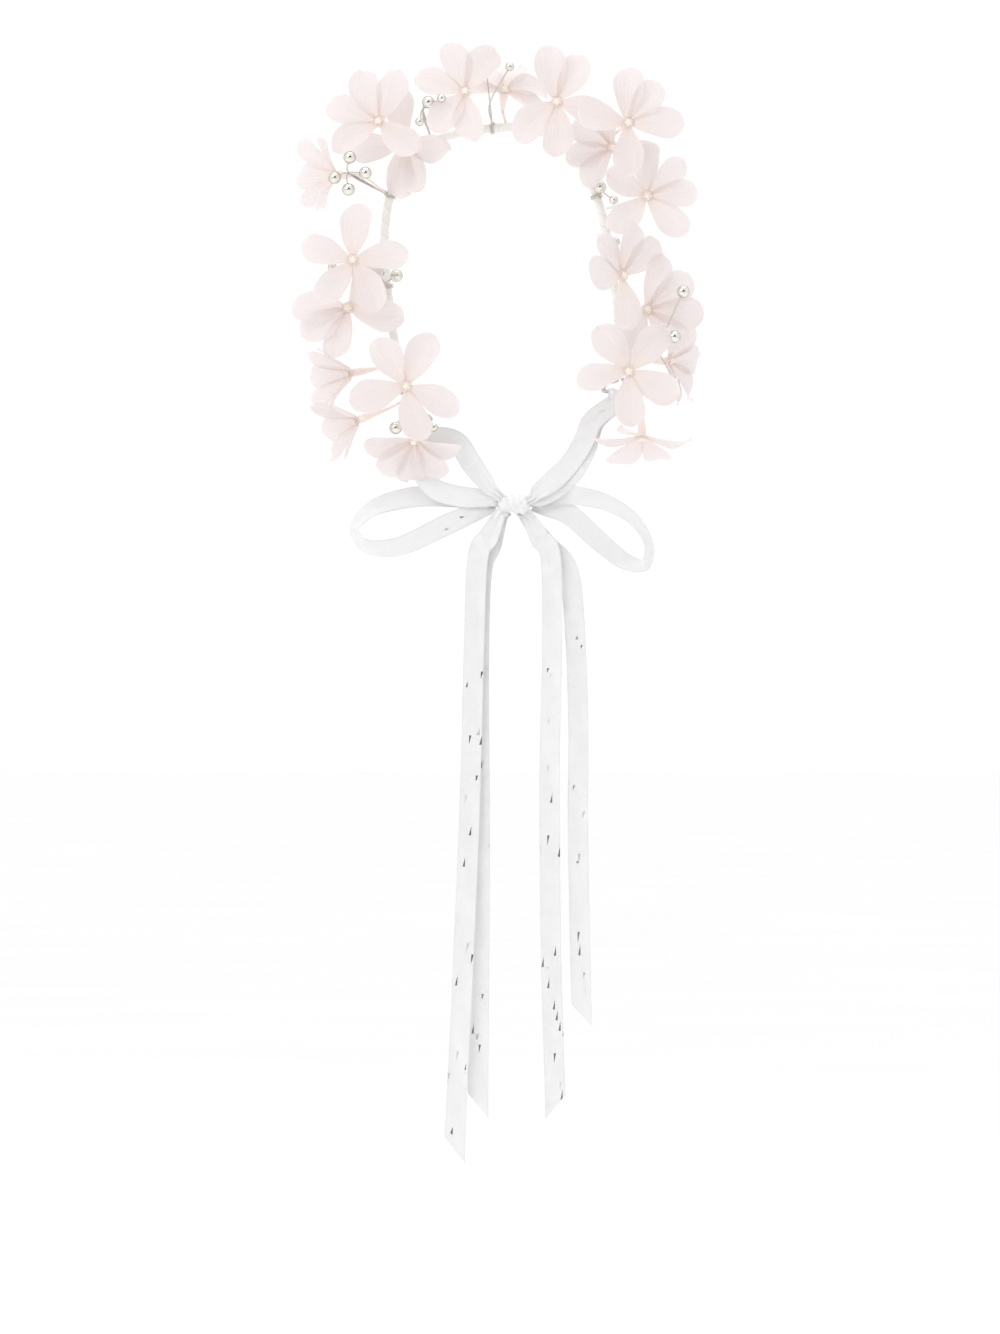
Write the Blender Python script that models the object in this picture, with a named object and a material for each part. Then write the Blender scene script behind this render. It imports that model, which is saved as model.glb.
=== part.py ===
"""Flower crown: a taped wire band with fabric flowers and pearl sprigs, tied with satin ribbons in a bow.

The crown's plane is XZ and its front faces -Y. The origin is on the underside of the band's
highest point, where the crown hangs. Everything is placed from the band's centre.
"""

import math
import random

import bmesh
import bpy
from mathutils import Matrix, Quaternion, Vector

MM = 0.001
FRONT = Vector((0, -1, 0))

# Driving dimensions, in metres and degrees.
BAND_HALF_WIDTH = 0.0563
BAND_HALF_HEIGHT = 0.0836
BAND_SQUARENESS = 2.87
BAND_TILT = 7.2
BAND_START = -134.0
BAND_END = 131.0
BAND_STEPS = 38
CLEARANCE = 0.0003

WIRE_RADIUS = 0.0009
WIRE_SIDES = 6
TAPE_WALL = 0.0009
TAPE_SIDES = 8
EYE_NECK = 0.0040
EYE_DROP = 0.0055
EYE_SHARE = 0.78

PETAL_LENGTH = 0.0285
PETAL_WIDTH = 0.0158
PETAL_THICKNESS = 0.0004
PETAL_DISH = 0.0012
PETAL_CURL = 0.0025
PETAL_ROOT_ANGLE = 16.0
PETAL_GAP_ANGLE = 40.0
PETAL_STAGGER = 3.5
PETAL_ROWS = (0.0, 0.35, 0.74, 0.965)
COROLLA_HOLE = 0.0012
COROLLA_EYE = 0.0028

PIP_RADIUS = 0.0017
PIP_HEIGHT = 0.0024
CALYX_RADIUS = 0.0021
CALYX_LENGTH = 0.0125
STEM_RADIUS = 0.0006
STEM_SIDES = 5
STEM_STEPS = 6

BEAD_RADIUS = 0.0031
SMALL_BEAD_RADIUS = 0.0022
BEAD_ROWS = 4
SPRIG_WIRE_RADIUS = 0.0004
SPRIG_SIDES = 5
SPRIG_STEPS = 2
COIL_STEPS = 8

RIBBON_WIDTH = 0.0102
RIBBON_THICKNESS = 0.0004
KNOT_DROP = 0.0209
KNOT_ASIDE = 0.0060
KNOT_HALF_LENGTH = 0.0080
KNOT_RADIUS = 0.0052
TAIL_LAP = 0.0005

TAPE_RADIUS = WIRE_RADIUS + CLEARANCE + TAPE_WALL
KNOT_ENTRY = KNOT_HALF_LENGTH + 4 * CLEARANCE
EYE_WIDTH = RIBBON_WIDTH + 2 * WIRE_RADIUS + 4 * CLEARANCE

# Each flower: angle on the band, distance outside and in front of the wire (mm), the way it faces
# (degrees turned right and up), size, how far its petals close, and the direction of each petal.
FLOWERS = (
    (22, 15.6, 22, 8, 5, 1.00, 8, (103, 57, -14, -88, 215)),
    (37, 30.0, 29, 12, 8, 0.97, 10, (92, 52, 0, -92, 172)),
    (56.5, 23.7, 18, 11, 1, 0.94, 11, (95, 45, 4, -50, -135, 155)),
    (88.5, 4.7, 25, 35, 5, 1.00, 20, (130, 182, -94, 41, 86)),
    (106, 14.7, 14, 20, 5, 1.02, 15, (75, 35, -7, -50, -125)),
    (130.5, 5.4, 26, -3, -3, 1.00, 10, (121, 187, -89, -29, 52)),
    (125.5, 25.4, 0, 60, 0, 0.90, 20, (95, 48, 0, -48, -95)),
    (147, 21.0, 12, 0, -67, 0.92, 15, (180, 108, 0, -60, -120)),
    (-3.5, 18.5, 21, 0, 20, 0.98, 12, (163, 105, 62, -88, -126)),
    (-25.5, 23.0, 17, -15, 10, 0.98, 15, (115, 160, 65, 214, -40)),
    (-40, 29.3, 12, -65, 0, 0.88, 40, (60, 120, 180, 240, 300)),
    (-66, 15.7, 26, -3, 3, 1.00, 10, (87, 164, 8, -60, -125)),
    (-87, 20.5, 16, -5, 0, 1.00, 12, (176, 214, 256, 52, -14)),
    (-131.5, 28.3, 17, -75, -20, 0.88, 50, (60, 120, 180, 240, 300)),
    (-126.5, -0.9, 22, 5, 0, 1.00, 12, (69, -22, 122, -80, 195)),
    (-144, 7.6, 16, -6, -44, 0.92, 16, (185, 223, 262, 305, 350)),
    (-24.5, 7.8, 3, -25, 0, 1.00, 15, (-15, -62, -92, 92, 192)),
    (39.5, 17.5, 13, 2, 1, 0.86, 7, (192, 226, 150, 108, -12)),
    (8.5, 17.9, 3, 5, 40, 0.88, -15, (-18, 28, 72, 120, 165)),
    (-116, 24.9, 3.5, -70, -10, 0.88, 55, (60, 120, 180, 240, 300)),
)

# Each sprig: the angle where its wire is wound on the band, where it forks, and its beads: angle,
# distance outside and in front of the wire (mm), and whether the bead is a full-size one.
SPRIGS = (
    (
        -41,
        (-39, 21.8, 25),
        (
            (-35.5, 24.6, 30, True),
            (-41, 28.3, 29, True),
            (-37.5, 14.6, 28, True),
            (-43, 20.2, 30, True),
        ),
    ),
    (-17, (-16, 15, 18), ((-14, 17.5, 26, True), (-18, 10.5, 24, False), (-10.5, 17.2, 30, False))),
    (-78, (-77, 1, 8), ((-74, -5.2, 13, True), (-72, 3.7, 15, True), (-68, 26.3, 14, False))),
    (4, (4, 12, 13), ((4, 34.1, 11, False), (10, 29.4, 14, False))),
    (51, (50, 3, 5), ((48.5, 3.0, 11, True), (54.5, 7.3, 12, False))),
    (74, (73, 2, 6), ((71.5, 3.7, 13, False),)),
    (
        121,
        (122, 17, 17),
        (
            (100, 33.5, 25, True),
            (115.5, 21.4, 26, False),
            (118, 27.3, 27, True),
            (132, 29, 20, False),
        ),
    ),
    (-128, (-133, 3, 9), ((-138, 12, 18, True), (-144.5, -4, 20, False))),
)

# Ribbon routes: x, y, z in mm from the knot, roll in degrees and share of the full width. Roll 0
# shows the ribbon's face to the front, and 90 its edge.
LEFT_FRONT_STRAND = ((-12.5, -3.4, 9, 0, 0.75), (-21, -3.4, 20.5, 0, 1), (-29.5, -3.0, 32, 0, 1))
LEFT_BACK_STRAND = (
    (-14, -1.2, 3.2, 0, 0.8),
    (-28, -1.4, 4.3, 8, 1),
    (-40, -1.6, 8.5, 15, 1),
    (-46, -0.6, 19, 10, 1),
    (-43.5, 0.6, 31, 0, 1),
)
RIGHT_FRONT_STRAND = (
    (12, -3.4, 6.5, 0, 0.75),
    (20, -3.6, 12.5, 10, 1),
    (28.5, -3.8, 21.3, 20, 1),
    (35, -3.4, 32, 5, 1),
    (39.5, -2.6, 42, 0, 1),
)
RIGHT_BACK_STRAND = (
    (13, -1.2, 3.4, 0, 0.8),
    (21, -1.2, 8.5, 0, 1),
    (30, -1.0, 17, 10, 1),
    (36.5, -0.6, 29.5, 5, 1),
    (40.5, 0.4, 42, 0, 1),
)
LEFT_LOOP = (
    (-9.4, 1.2, 0, 0, 0.55),
    (-15, 1.2, -1.5, 0, 0.85),
    (-35, 0.6, -10.5, -8, 1),
    (-57, -0.5, -20.5, -28, 1),
    (-73, 0, -20.5, -52, 1),
    (-79.5, 2, -12.5, -62, 1),
    (-73, 4, -3.5, -48, 1),
    (-60, 4.2, 2, -22, 1),
    (-43, 3.8, 4.5, -8, 1),
    (-20, 3.4, 3, 0, 0.9),
    (-9.4, 3.4, 0.5, 0, 0.55),
)
RIGHT_LOOP = (
    (9.4, 1.2, 1.2, 0, 0.55),
    (16, 1.2, 4.0, 0, 0.9),
    (30, 1.0, 5.0, 25, 1),
    (47, 0.6, 1.0, 44, 1),
    (61, 0.4, -8, 56, 1),
    (68, 1.2, -20, 64, 1),
    (65.5, 2.6, -30, 58, 1),
    (55, 3.8, -28, 36, 1),
    (42, 3.8, -17.5, 20, 1),
    (28, 3.4, -5, 8, 1),
    (15.5, 3.4, -1.2, 0, 0.8),
    (9.4, 3.4, 0, 0, 0.55),
)

# Each tail: where it leaves the knot and where it starts to hang (x, z), the depth it hangs at, its
# later points (x, z), all in mm from the knot, how much its cut end slants, down to the right, and
# how far it turns on its way down, in degrees.
TAILS = (
    ((-7, -5), (-18, -27), -6.0, ((-20, -75), (-22, -150), (-25.5, -235), (-29.6, -322)), -1.25, -7),
    ((-6, -6), (-16, -34), -2.2, ((-17.4, -80), (-17, -150), (-17.2, -220), (-17.8, -300)), -1.2, -9),
    ((7, -5.5), (18.5, -27), 2.2, ((19.2, -75), (18, -130), (18.5, -215), (20.8, -301)), 1.1, 10),
    ((6, -6), (27.5, -34), 6.0, ((31, -70), (32.3, -115), (32.2, -165), (34, -255)), -1.1, -10),
)


def clear_scene():
    for obj in list(bpy.data.objects):
        bpy.data.objects.remove(obj)


def plain_material(name, colour, roughness, metallic=0.0):
    material = bpy.data.materials.new(name)
    material.use_nodes = True
    shader = material.node_tree.nodes["Principled BSDF"]
    shader.inputs["Base Color"].default_value = (*colour, 1)
    shader.inputs["Roughness"].default_value = roughness
    shader.inputs["Metallic"].default_value = metallic
    return material


def add_object(name, bm, material, parent, place=None):
    """An object that shows bm, at place in its parent's space."""
    mesh = bpy.data.meshes.new(name)
    bm.to_mesh(mesh)
    bm.free()
    mesh.materials.append(material)
    obj = bpy.data.objects.new(name, mesh)
    bpy.context.scene.collection.objects.link(obj)
    obj.parent = parent
    if place is not None:
        obj.matrix_basis = place
    return obj


def smooth(obj):
    obj.data.shade_smooth()
    obj.data.set_sharp_from_angle(angle=math.radians(40))


def thicken(obj, thickness, offset=0.0):
    solidify = obj.modifiers.new("Thickness", "SOLIDIFY")
    solidify.thickness = thickness
    solidify.offset = offset


def hide_cutter(obj):
    obj.hide_render = True
    obj.display_type = "WIRE"


def band_point(angle):
    """A point on the band's centreline, at an angle clockwise from the top, about the band's centre."""
    turn = math.radians(angle)
    across = abs(math.sin(turn) / BAND_HALF_WIDTH) ** BAND_SQUARENESS
    along = abs(math.cos(turn) / BAND_HALF_HEIGHT) ** BAND_SQUARENESS
    radius = (across + along) ** (-1 / BAND_SQUARENESS)
    lean = turn - math.radians(BAND_TILT)
    return Vector((radius * math.sin(lean), 0, radius * math.cos(lean)))


def band_tangent(angle):
    return (band_point(angle + 0.5) - band_point(angle - 0.5)).normalized()


def band_outward(angle):
    tangent = band_tangent(angle)
    return Vector((-tangent.z, 0, tangent.x))


def beside_band(angle, outside, in_front):
    """A point given by its angle on the band and its distances outside and in front of it, in mm."""
    return band_point(angle) + (band_outward(angle) * outside + FRONT * in_front) * MM


def band_path():
    span = BAND_END - BAND_START
    return [band_point(BAND_START + span * step / BAND_STEPS) for step in range(BAND_STEPS + 1)]


def catmull_rom(points, steps):
    """A smooth curve through points, vectors of any size, with the given steps between each two."""
    ends = [points[0] * 2 - points[1], *points, points[-1] * 2 - points[-2]]
    curve = []
    for a, b, c, d in zip(ends, ends[1:], ends[2:], ends[3:]):
        for step in range(steps):
            t = step / steps
            bend = (a * 2 - b * 5 + c * 4 - d) * t**2
            twist = (b * 3 - a - c * 3 + d) * t**3
            curve.append((b * 2 + (c - a) * t + bend + twist) / 2)
    return [*curve, points[-1]]


def tangents_of(path):
    ends = [path[0], *path, path[-1]]
    return [(after - before).normalized() for before, after in zip(ends, ends[2:])]


def grow(bm, edges):
    """Extrudes a row of edges in place, and returns the new row's edges and vertices."""
    grown = bmesh.ops.extrude_edge_only(bm, edges=edges)["geom"]
    verts = [item for item in grown if isinstance(item, bmesh.types.BMVert)]
    fresh = set(verts)
    return list({edge for vert in verts for edge in vert.link_edges if set(edge.verts) <= fresh}), verts


def sweep(bm, path, radii, sides, capped=True):
    """Skins a round tube along path."""
    tangents = tangents_of(path)
    turn = Vector((0, 0, 1)).rotation_difference(tangents[0])
    place = Matrix.Translation(path[0]) @ turn.to_matrix().to_4x4()
    ring = bmesh.ops.create_circle(bm, segments=sides, radius=radii[0], matrix=place)["verts"]
    edges = list({edge for vert in ring for edge in vert.link_edges})
    first = edges
    for step in range(1, len(path)):
        edges, verts = grow(bm, edges)
        bend = tangents[step - 1].rotation_difference(tangents[step])
        for vert in verts:
            spoke = bend @ (vert.co - path[step - 1])
            vert.co = path[step] + spoke * (radii[step] / radii[step - 1])
    if capped:
        bmesh.ops.edgeloop_fill(bm, edges=first)
        bmesh.ops.edgeloop_fill(bm, edges=edges)
    bmesh.ops.recalc_face_normals(bm, faces=bm.faces)


def strip(bm, route, steps, round_start=False, slant=0.0):
    """Lays a flat ribbon along route, points of x, y, z, roll and width share in mm and degrees."""
    curve = catmull_rom([Vector(point) for point in route], steps)
    path = [Vector(point[:3]) * MM for point in curve]
    tangents = tangents_of(path)
    verts = None
    flat = None
    travelled = 0.0
    for step, (point, tangent, row) in enumerate(zip(path, tangents, curve)):
        travelled += (point - path[max(step - 1, 0)]).length
        level = tangent.cross(FRONT)
        if flat is not None and level.length < 0.5:
            level = flat - tangent * flat.dot(tangent)
        elif flat is not None and level.dot(flat) < 0:
            level.negate()
        flat = level.normalized()
        across = Quaternion(tangent, math.radians(row[3])) @ flat
        share = row[4]
        if round_start:
            left = max(1 - 2 * travelled / RIBBON_WIDTH, 0)
            share *= math.sqrt(max(1 - left**2, 0.09))
        half = across * (RIBBON_WIDTH / 2 * share)
        sides = [point - half, point + half]
        if step == len(path) - 1:
            sides = [side + Vector((0, 0, slant * (side.x - point.x))) for side in sides]
        if verts is None:
            verts = [bm.verts.new(side) for side in sides]
            edges = [bm.edges.new(verts)]
            continue
        edges, fresh = grow(bm, edges)
        verts = sorted(fresh, key=lambda vert: (vert.co - verts[0].co).length)
        for vert, side in zip(verts, sides):
            vert.co = side
    bmesh.ops.recalc_face_normals(bm, faces=bm.faces)


def petal_half_width(share):
    """A petal's half width along it: narrow at the root, widest past the middle, round at the tip."""
    widening = 0.24 + 0.76 * math.sin(math.pi / 2 * min(share / 0.64, 1))
    rounding = math.sqrt(1 - max((share - 0.64) / 0.36, 0) ** 2)
    return PETAL_WIDTH / 2 * widening * rounding


def petal_point(share, side, direction, length, closing):
    """A point on a petal: its share of the way to the tip, and -1, 0 or 1 across."""
    reach = share * (length - COROLLA_EYE)
    lift = reach * math.tan(math.radians(closing)) - PETAL_CURL * share**3
    lift += PETAL_DISH * side**2 * math.sin(math.pi * min(share, 1))
    width = side * petal_half_width(share) * length / PETAL_LENGTH
    flat = Vector((COROLLA_EYE + reach * math.cos(math.radians(closing)), width))
    turn = math.radians(direction)
    return Vector(
        (
            flat.x * math.cos(turn) - flat.y * math.sin(turn),
            flat.x * math.sin(turn) + flat.y * math.cos(turn),
            lift * math.cos(math.radians(closing)),
        )
    )


def corolla(bm, size, closing, directions, chance):
    """Petals cut from one piece of cloth, around a hole for the stem, facing +Z."""
    directions = sorted(direction % 360 for direction in directions)
    turns = []
    for direction, following in zip(directions, [*directions[1:], directions[0] + 360]):
        turns += [direction + side * PETAL_ROOT_ANGLE for side in (-1, 0, 1)]
        gap = following - direction - 2 * PETAL_ROOT_ANGLE
        fillers = int(gap // PETAL_GAP_ANGLE)
        turns += [turns[-1] + gap * (step + 1) / (fillers + 1) for step in range(fillers)]
    ring = bmesh.ops.create_circle(bm, segments=len(turns), radius=COROLLA_HOLE)["verts"]
    for vert, turn in zip(ring, turns):
        vert.co = Vector((math.cos(math.radians(turn)), math.sin(math.radians(turn)), 0)) * COROLLA_HOLE
    outer, verts = grow(bm, bm.edges[:])
    for vert in verts:
        vert.co *= COROLLA_EYE / COROLLA_HOLE
    for index, direction in enumerate(directions):
        length = PETAL_LENGTH * size * chance.uniform(0.94, 1.04)
        stagger = PETAL_STAGGER if index % 2 else -PETAL_STAGGER
        petal_closing = closing + stagger + chance.uniform(-1, 1)
        root_turns = [math.radians(direction + side * PETAL_ROOT_ANGLE) for side in (-1, 0, 1)]
        root = [Vector((math.cos(turn), math.sin(turn), 0)) * COROLLA_EYE for turn in root_turns]
        row = [min(verts, key=lambda vert: (vert.co - spot).length) for spot in root]
        edges = [edge for edge in outer if set(edge.verts) <= set(row)]
        for share in PETAL_ROWS[1:]:
            edges, fresh = grow(bm, edges)
            row = [min(fresh, key=lambda vert: (vert.co - old.co).length) for old in row]
            for vert, side in zip(row, (-1, 0, 1)):
                vert.co = petal_point(share, side, direction, length, petal_closing)
    bmesh.ops.recalc_face_normals(bm, faces=bm.faces)


def facing(right, up):
    """The rotation that turns +Z to the front, then right and up by these angles, keeping +Y up."""
    right, up = math.radians(right), math.radians(up)
    normal = Vector((math.sin(right) * math.cos(up), -math.cos(right) * math.cos(up), math.sin(up)))
    across = Vector((math.cos(right), math.sin(right), 0))
    return Matrix((across, normal.cross(across), normal)).transposed()


def add_flower(number, flower, crown, cloth, plastic):
    angle, outside, in_front, right, up, size, closing, directions = flower
    turn = facing(right, up)
    centre = beside_band(angle, outside, in_front)
    place = Matrix.Translation(centre) @ turn.to_4x4()
    petals = bmesh.new()
    corolla(petals, size, closing, directions, random.Random(number))
    obj = add_object(f"flower_{number:02d}_petals", petals, cloth, crown, place)
    thicken(obj, PETAL_THICKNESS)
    smooth(obj)

    # The stem: a pip in front of the petals, a neck through them, a calyx behind and a thin stem.
    front, back = PETAL_THICKNESS / 2 + CLEARANCE, -PETAL_THICKNESS / 2 - CLEARANCE
    neck = COROLLA_HOLE - 1.5 * CLEARANCE
    profile = (
        (PIP_HEIGHT, 0.35 * PIP_RADIUS),
        (0.75 * PIP_HEIGHT, 0.85 * PIP_RADIUS),
        (front + 0.3 * MM, PIP_RADIUS),
        (front, neck),
        (back, neck),
        (back - 0.3 * MM, 0.85 * CALYX_RADIUS),
        (back - 0.25 * CALYX_LENGTH, CALYX_RADIUS),
        (back - CALYX_LENGTH, 1.6 * STEM_RADIUS),
    )
    path = [centre + turn @ Vector((0, 0, height)) for height, _ in profile]
    radii = [radius for _, radius in profile]
    root_angle = min(max(angle, BAND_START + 3), BAND_END - 3)
    root = band_point(root_angle)
    along = band_tangent(root_angle)
    away = path[-1] - root
    away = (away - along * away.dot(along)).normalized()
    end = root + away * (TAPE_RADIUS + CLEARANCE + STEM_RADIUS)
    start = path[-1]
    reach = (end - start).length
    bow = [start, start - turn @ Vector((0, 0, 0.4 * reach)), end + away * 0.4 * reach, end]
    for step in range(1, STEM_STEPS + 1):
        t = step / STEM_STEPS
        shares = ((1 - t) ** 3, 3 * t * (1 - t) ** 2, 3 * t * t * (1 - t), t**3)
        path.append(sum((point * share for point, share in zip(bow, shares)), Vector()))
        radii.append(STEM_RADIUS)
    stem = bmesh.new()
    sweep(stem, [point - centre for point in path], radii, STEM_SIDES)
    smooth(add_object(f"flower_{number:02d}_stem", stem, plastic, crown, Matrix.Translation(centre)))


def add_band(crown, wire, tape):
    """The bent wire with an eye at each end, and the tape wound over it."""
    path = band_path()
    left = eye_path(path[0], (path[0] - path[1]).normalized(), 1)
    right = eye_path(path[-1], (path[-1] - path[-2]).normalized(), -1)
    whole = [*reversed(left), *path, *right]
    core = bmesh.new()
    sweep(core, whole, [WIRE_RADIUS] * len(whole), WIRE_SIDES)
    smooth(add_object("wire_core", core, wire, crown))
    wound = bmesh.new()
    sweep(wound, path, [TAPE_RADIUS] * len(path), TAPE_SIDES, capped=False)
    cover = add_object("stem_tape", wound, tape, crown)
    thicken(cover, TAPE_WALL, -1.0)
    smooth(cover)


def eye_path(end, down, side):
    """The wire's end past end: a flat loop with a bar across it, which the ribbon hangs over."""
    across = Vector((down.z, 0, -down.x)) * side
    half = EYE_WIDTH / 2
    corners = (
        (0.0, EYE_NECK),
        (-half * 0.7, EYE_NECK + EYE_DROP * 0.25),
        (-half, EYE_NECK + EYE_DROP * 0.8),
        (-half * 0.8, EYE_NECK + EYE_DROP),
        (half * 0.8, EYE_NECK + EYE_DROP),
        (half, EYE_NECK + EYE_DROP * 0.8),
        (half * 0.7, EYE_NECK + EYE_DROP * 0.25),
        (2 * WIRE_RADIUS + 2 * CLEARANCE, EYE_NECK * 0.6),
    )
    points = [end + across * x + down * y for x, y in corners]
    return catmull_rom(points, 2)


def eye_bar(index):
    """The middle of an eye's bar and the wire's direction there: index 0 is the left, -1 the right."""
    path = band_path()
    inner = path[1] if index == 0 else path[-2]
    down = (path[index] - inner).normalized()
    return path[index] + down * (EYE_NECK + EYE_DROP), down


def add_sprig(number, sprig, crown, metal):
    """A wire wound once round the band, with a branch to each bead."""
    angle, fork, beads = sprig
    root = band_point(angle)
    along = band_tangent(angle)
    winding = TAPE_RADIUS + CLEARANCE + SPRIG_WIRE_RADIUS
    coil = bmesh.new()
    outward = band_outward(angle)
    turn = Vector((0, 0, 1)).rotation_difference(along.cross(outward))
    place = Matrix.Translation(root + outward * winding) @ turn.to_matrix().to_4x4()
    bmesh.ops.create_circle(coil, segments=4, radius=SPRIG_WIRE_RADIUS, matrix=place)
    bmesh.ops.spin(
        coil, geom=coil.verts[:] + coil.edges[:], cent=root, axis=along,
        angle=2 * math.pi, steps=COIL_STEPS, use_merge=True,
    )
    bmesh.ops.recalc_face_normals(coil, faces=coil.faces)
    body = add_object(f"bead_sprig_{number}", coil, metal, crown)
    branches = bpy.data.collections.new(f"sprig_{number}_branches")
    branches.hide_render = True
    bpy.context.scene.collection.children.link(branches)
    for bead_angle, outside, in_front, full_size in beads:
        radius = BEAD_RADIUS if full_size else SMALL_BEAD_RADIUS
        centre = beside_band(bead_angle, outside, in_front)
        away = beside_band(*fork) - root
        away = (away - along * away.dot(along)).normalized()
        start = root + away * winding
        path = catmull_rom([start, beside_band(*fork), centre], SPRIG_STEPS)
        last = (centre - path[-2]).normalized()
        path = [point for point in path if (point - centre).length > 1.15 * radius]
        radii = [SPRIG_WIRE_RADIUS] * len(path)
        for row in range(BEAD_ROWS + 1):
            polar = math.pi * (0.06 + 0.88 * row / BEAD_ROWS)
            path.append(centre - last * radius * math.cos(polar))
            radii.append(radius * math.sin(polar))
        branch = bmesh.new()
        sweep(branch, path, radii, SPRIG_SIDES)
        obj = add_object(f"sprig_{number}_branch", branch, metal, crown)
        bpy.context.scene.collection.objects.unlink(obj)
        branches.objects.link(obj)
        hide_cutter(obj)
    union = body.modifiers.new("Branches", "BOOLEAN")
    union.operation = "UNION"
    union.operand_type = "COLLECTION"
    union.collection = branches
    union.solver = "EXACT"
    smooth(body)


def add_ribbon(name, route, steps, satin, parent, **ends):
    bm = bmesh.new()
    strip(bm, route, steps, **ends)
    obj = add_object(name, bm, satin, parent)
    thicken(obj, RIBBON_THICKNESS)
    smooth(obj)
    return obj


def strand_route(front, back, index, knot):
    """A ribbon folded over an eye's bar: from the knot over the bar and back, in mm from the knot."""
    bar, down = eye_bar(index)
    middle = (bar - knot) / MM
    stand_off = (WIRE_RADIUS + CLEARANCE + RIBBON_THICKNESS) / MM
    side = -1 if index == 0 else 1
    entry = side * KNOT_ENTRY / MM
    lift = -down * stand_off
    return (
        (entry, front[0][1], front[0][2] - 3.0, 0, 0.5),
        *front,
        (middle.x + 5 * down.x, -stand_off, middle.z + 5 * down.z, 0, 0.9),
        (middle.x + down.x, -stand_off, middle.z + down.z, 0, EYE_SHARE),
        (middle.x + lift.x, 0, middle.z + lift.z, 0, EYE_SHARE),
        (middle.x + down.x, stand_off, middle.z + down.z, 0, EYE_SHARE),
        (middle.x + 5 * down.x, stand_off, middle.z + 5 * down.z, 0, 0.9),
        *reversed(back),
        (entry, back[0][1], back[0][2] - 1.5, 0, 0.5),
    )


def add_bow(crown, satin):
    knot = Vector((KNOT_ASIDE, 0, -BAND_HALF_HEIGHT - KNOT_DROP))
    centre = bpy.data.objects.new("bow_centre", None)
    bpy.context.scene.collection.objects.link(centre)
    centre.parent = crown
    centre.location = knot

    wrap = bmesh.new()
    shares = ((-1, 0.80), (-0.8, 1.0), (0, 0.90), (0.8, 1.0), (1, 0.80))
    path = [Vector((KNOT_HALF_LENGTH * x, 0, 0)) for x, _ in shares]
    sweep(wrap, path, [KNOT_RADIUS * share for _, share in shares], 12)
    body = add_object("bow_knot", wrap, satin, centre)
    stubs = bpy.data.collections.new("knot_stubs")
    stubs.hide_render = True
    bpy.context.scene.collection.children.link(stubs)
    lap = (RIBBON_THICKNESS + TAIL_LAP) / MM
    for number, (leave, pivot, depth, _, _, _) in enumerate(TAILS, 1):
        front = depth - math.copysign(lap, depth)
        route = (
            (leave[0] * 0.5, front * 0.3, 0, 0, 0.5),
            (leave[0], front * 0.6, leave[1], 0, 0.6),
            ((leave[0] + pivot[0]) / 2, front * 0.95, (leave[1] + pivot[1]) / 2, 0, 0.95),
            (pivot[0], front, pivot[1], 0, 1),
        )
        stub = add_ribbon(f"tail_{number}_stub", route, 3, satin, centre)
        bpy.context.scene.collection.objects.unlink(stub)
        stubs.objects.link(stub)
        hide_cutter(stub)
    union = body.modifiers.new("Stubs", "BOOLEAN")
    union.operation = "UNION"
    union.operand_type = "COLLECTION"
    union.collection = stubs
    union.solver = "EXACT"
    smooth(body)

    left = strand_route(LEFT_FRONT_STRAND, LEFT_BACK_STRAND, 0, knot)
    add_ribbon("ribbon_left", left, 3, satin, centre)
    right = strand_route(RIGHT_FRONT_STRAND, RIGHT_BACK_STRAND, -1, knot)
    add_ribbon("ribbon_right", right, 3, satin, centre)
    add_ribbon("bow_loop_left", LEFT_LOOP, 3, satin, centre)
    add_ribbon("bow_loop_right", RIGHT_LOOP, 3, satin, centre)

    # The tails hang from where the ribbon bends down, and each swings about its own pivot.
    for number, (_, pivot, depth, points, slant, turned) in enumerate(TAILS, 1):
        top = RIBBON_WIDTH / 2 / MM
        hang = Vector((points[0][0] - pivot[0], points[0][1] - pivot[1])).normalized() * top
        route = [(-hang.x, 0, -hang.y, 0, 1), (0, 0, 0, 0, 1)]
        for step, (x, z) in enumerate(points, 1):
            roll = turned * math.sin(math.pi * step / 2.6)
            route.append((x - pivot[0], 0, z - pivot[1], roll, 1))
        name = f"ribbon_tail_{number}"
        tail = add_ribbon(name, route, 5, satin, centre, round_start=True, slant=slant)
        tail.location = Vector((pivot[0], depth, pivot[1])) * MM


def main():
    clear_scene()
    crest = max((band_point(step * 0.5) for step in range(-40, 41)), key=lambda point: point.z)
    crown = bpy.data.objects.new("crown", None)
    bpy.context.scene.collection.objects.link(crown)
    crown.location = (-crest.x, 0, TAPE_RADIUS - crest.z)

    petal_cloth = plain_material("petal_cloth", (0.93, 0.83, 0.80), 0.7)
    flower_plastic = plain_material("flower_plastic", (0.88, 0.78, 0.56), 0.5)
    stem_tape = plain_material("stem_tape", (0.85, 0.82, 0.78), 0.7)
    steel = plain_material("steel", (0.6, 0.6, 0.6), 0.4, 1.0)
    silver_pearl = plain_material("silver_pearl", (0.82, 0.81, 0.76), 0.2, 0.7)
    satin = plain_material("satin", (0.90, 0.90, 0.92), 0.35)

    add_band(crown, steel, stem_tape)
    for number, flower in enumerate(FLOWERS, 1):
        add_flower(number, flower, crown, petal_cloth, flower_plastic)
    for number, sprig in enumerate(SPRIGS, 1):
        add_sprig(number, sprig, crown, silver_pearl)
    add_bow(crown, satin)


main()
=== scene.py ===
"""Flower crown: cloth blossoms and pearl sprigs on a taped wire band, tied with a satin bow.

The crown's plane is XZ and its front faces -Y. The origin is on the underside of the band's highest
point, where the crown hangs. Sizes are in metres, apart from the tables in millimetres and degrees.
"""

import math
import random

import bmesh
import bpy
from bpy.props import FloatProperty, FloatVectorProperty, PointerProperty
from mathutils import Matrix, Quaternion, Vector


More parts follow.
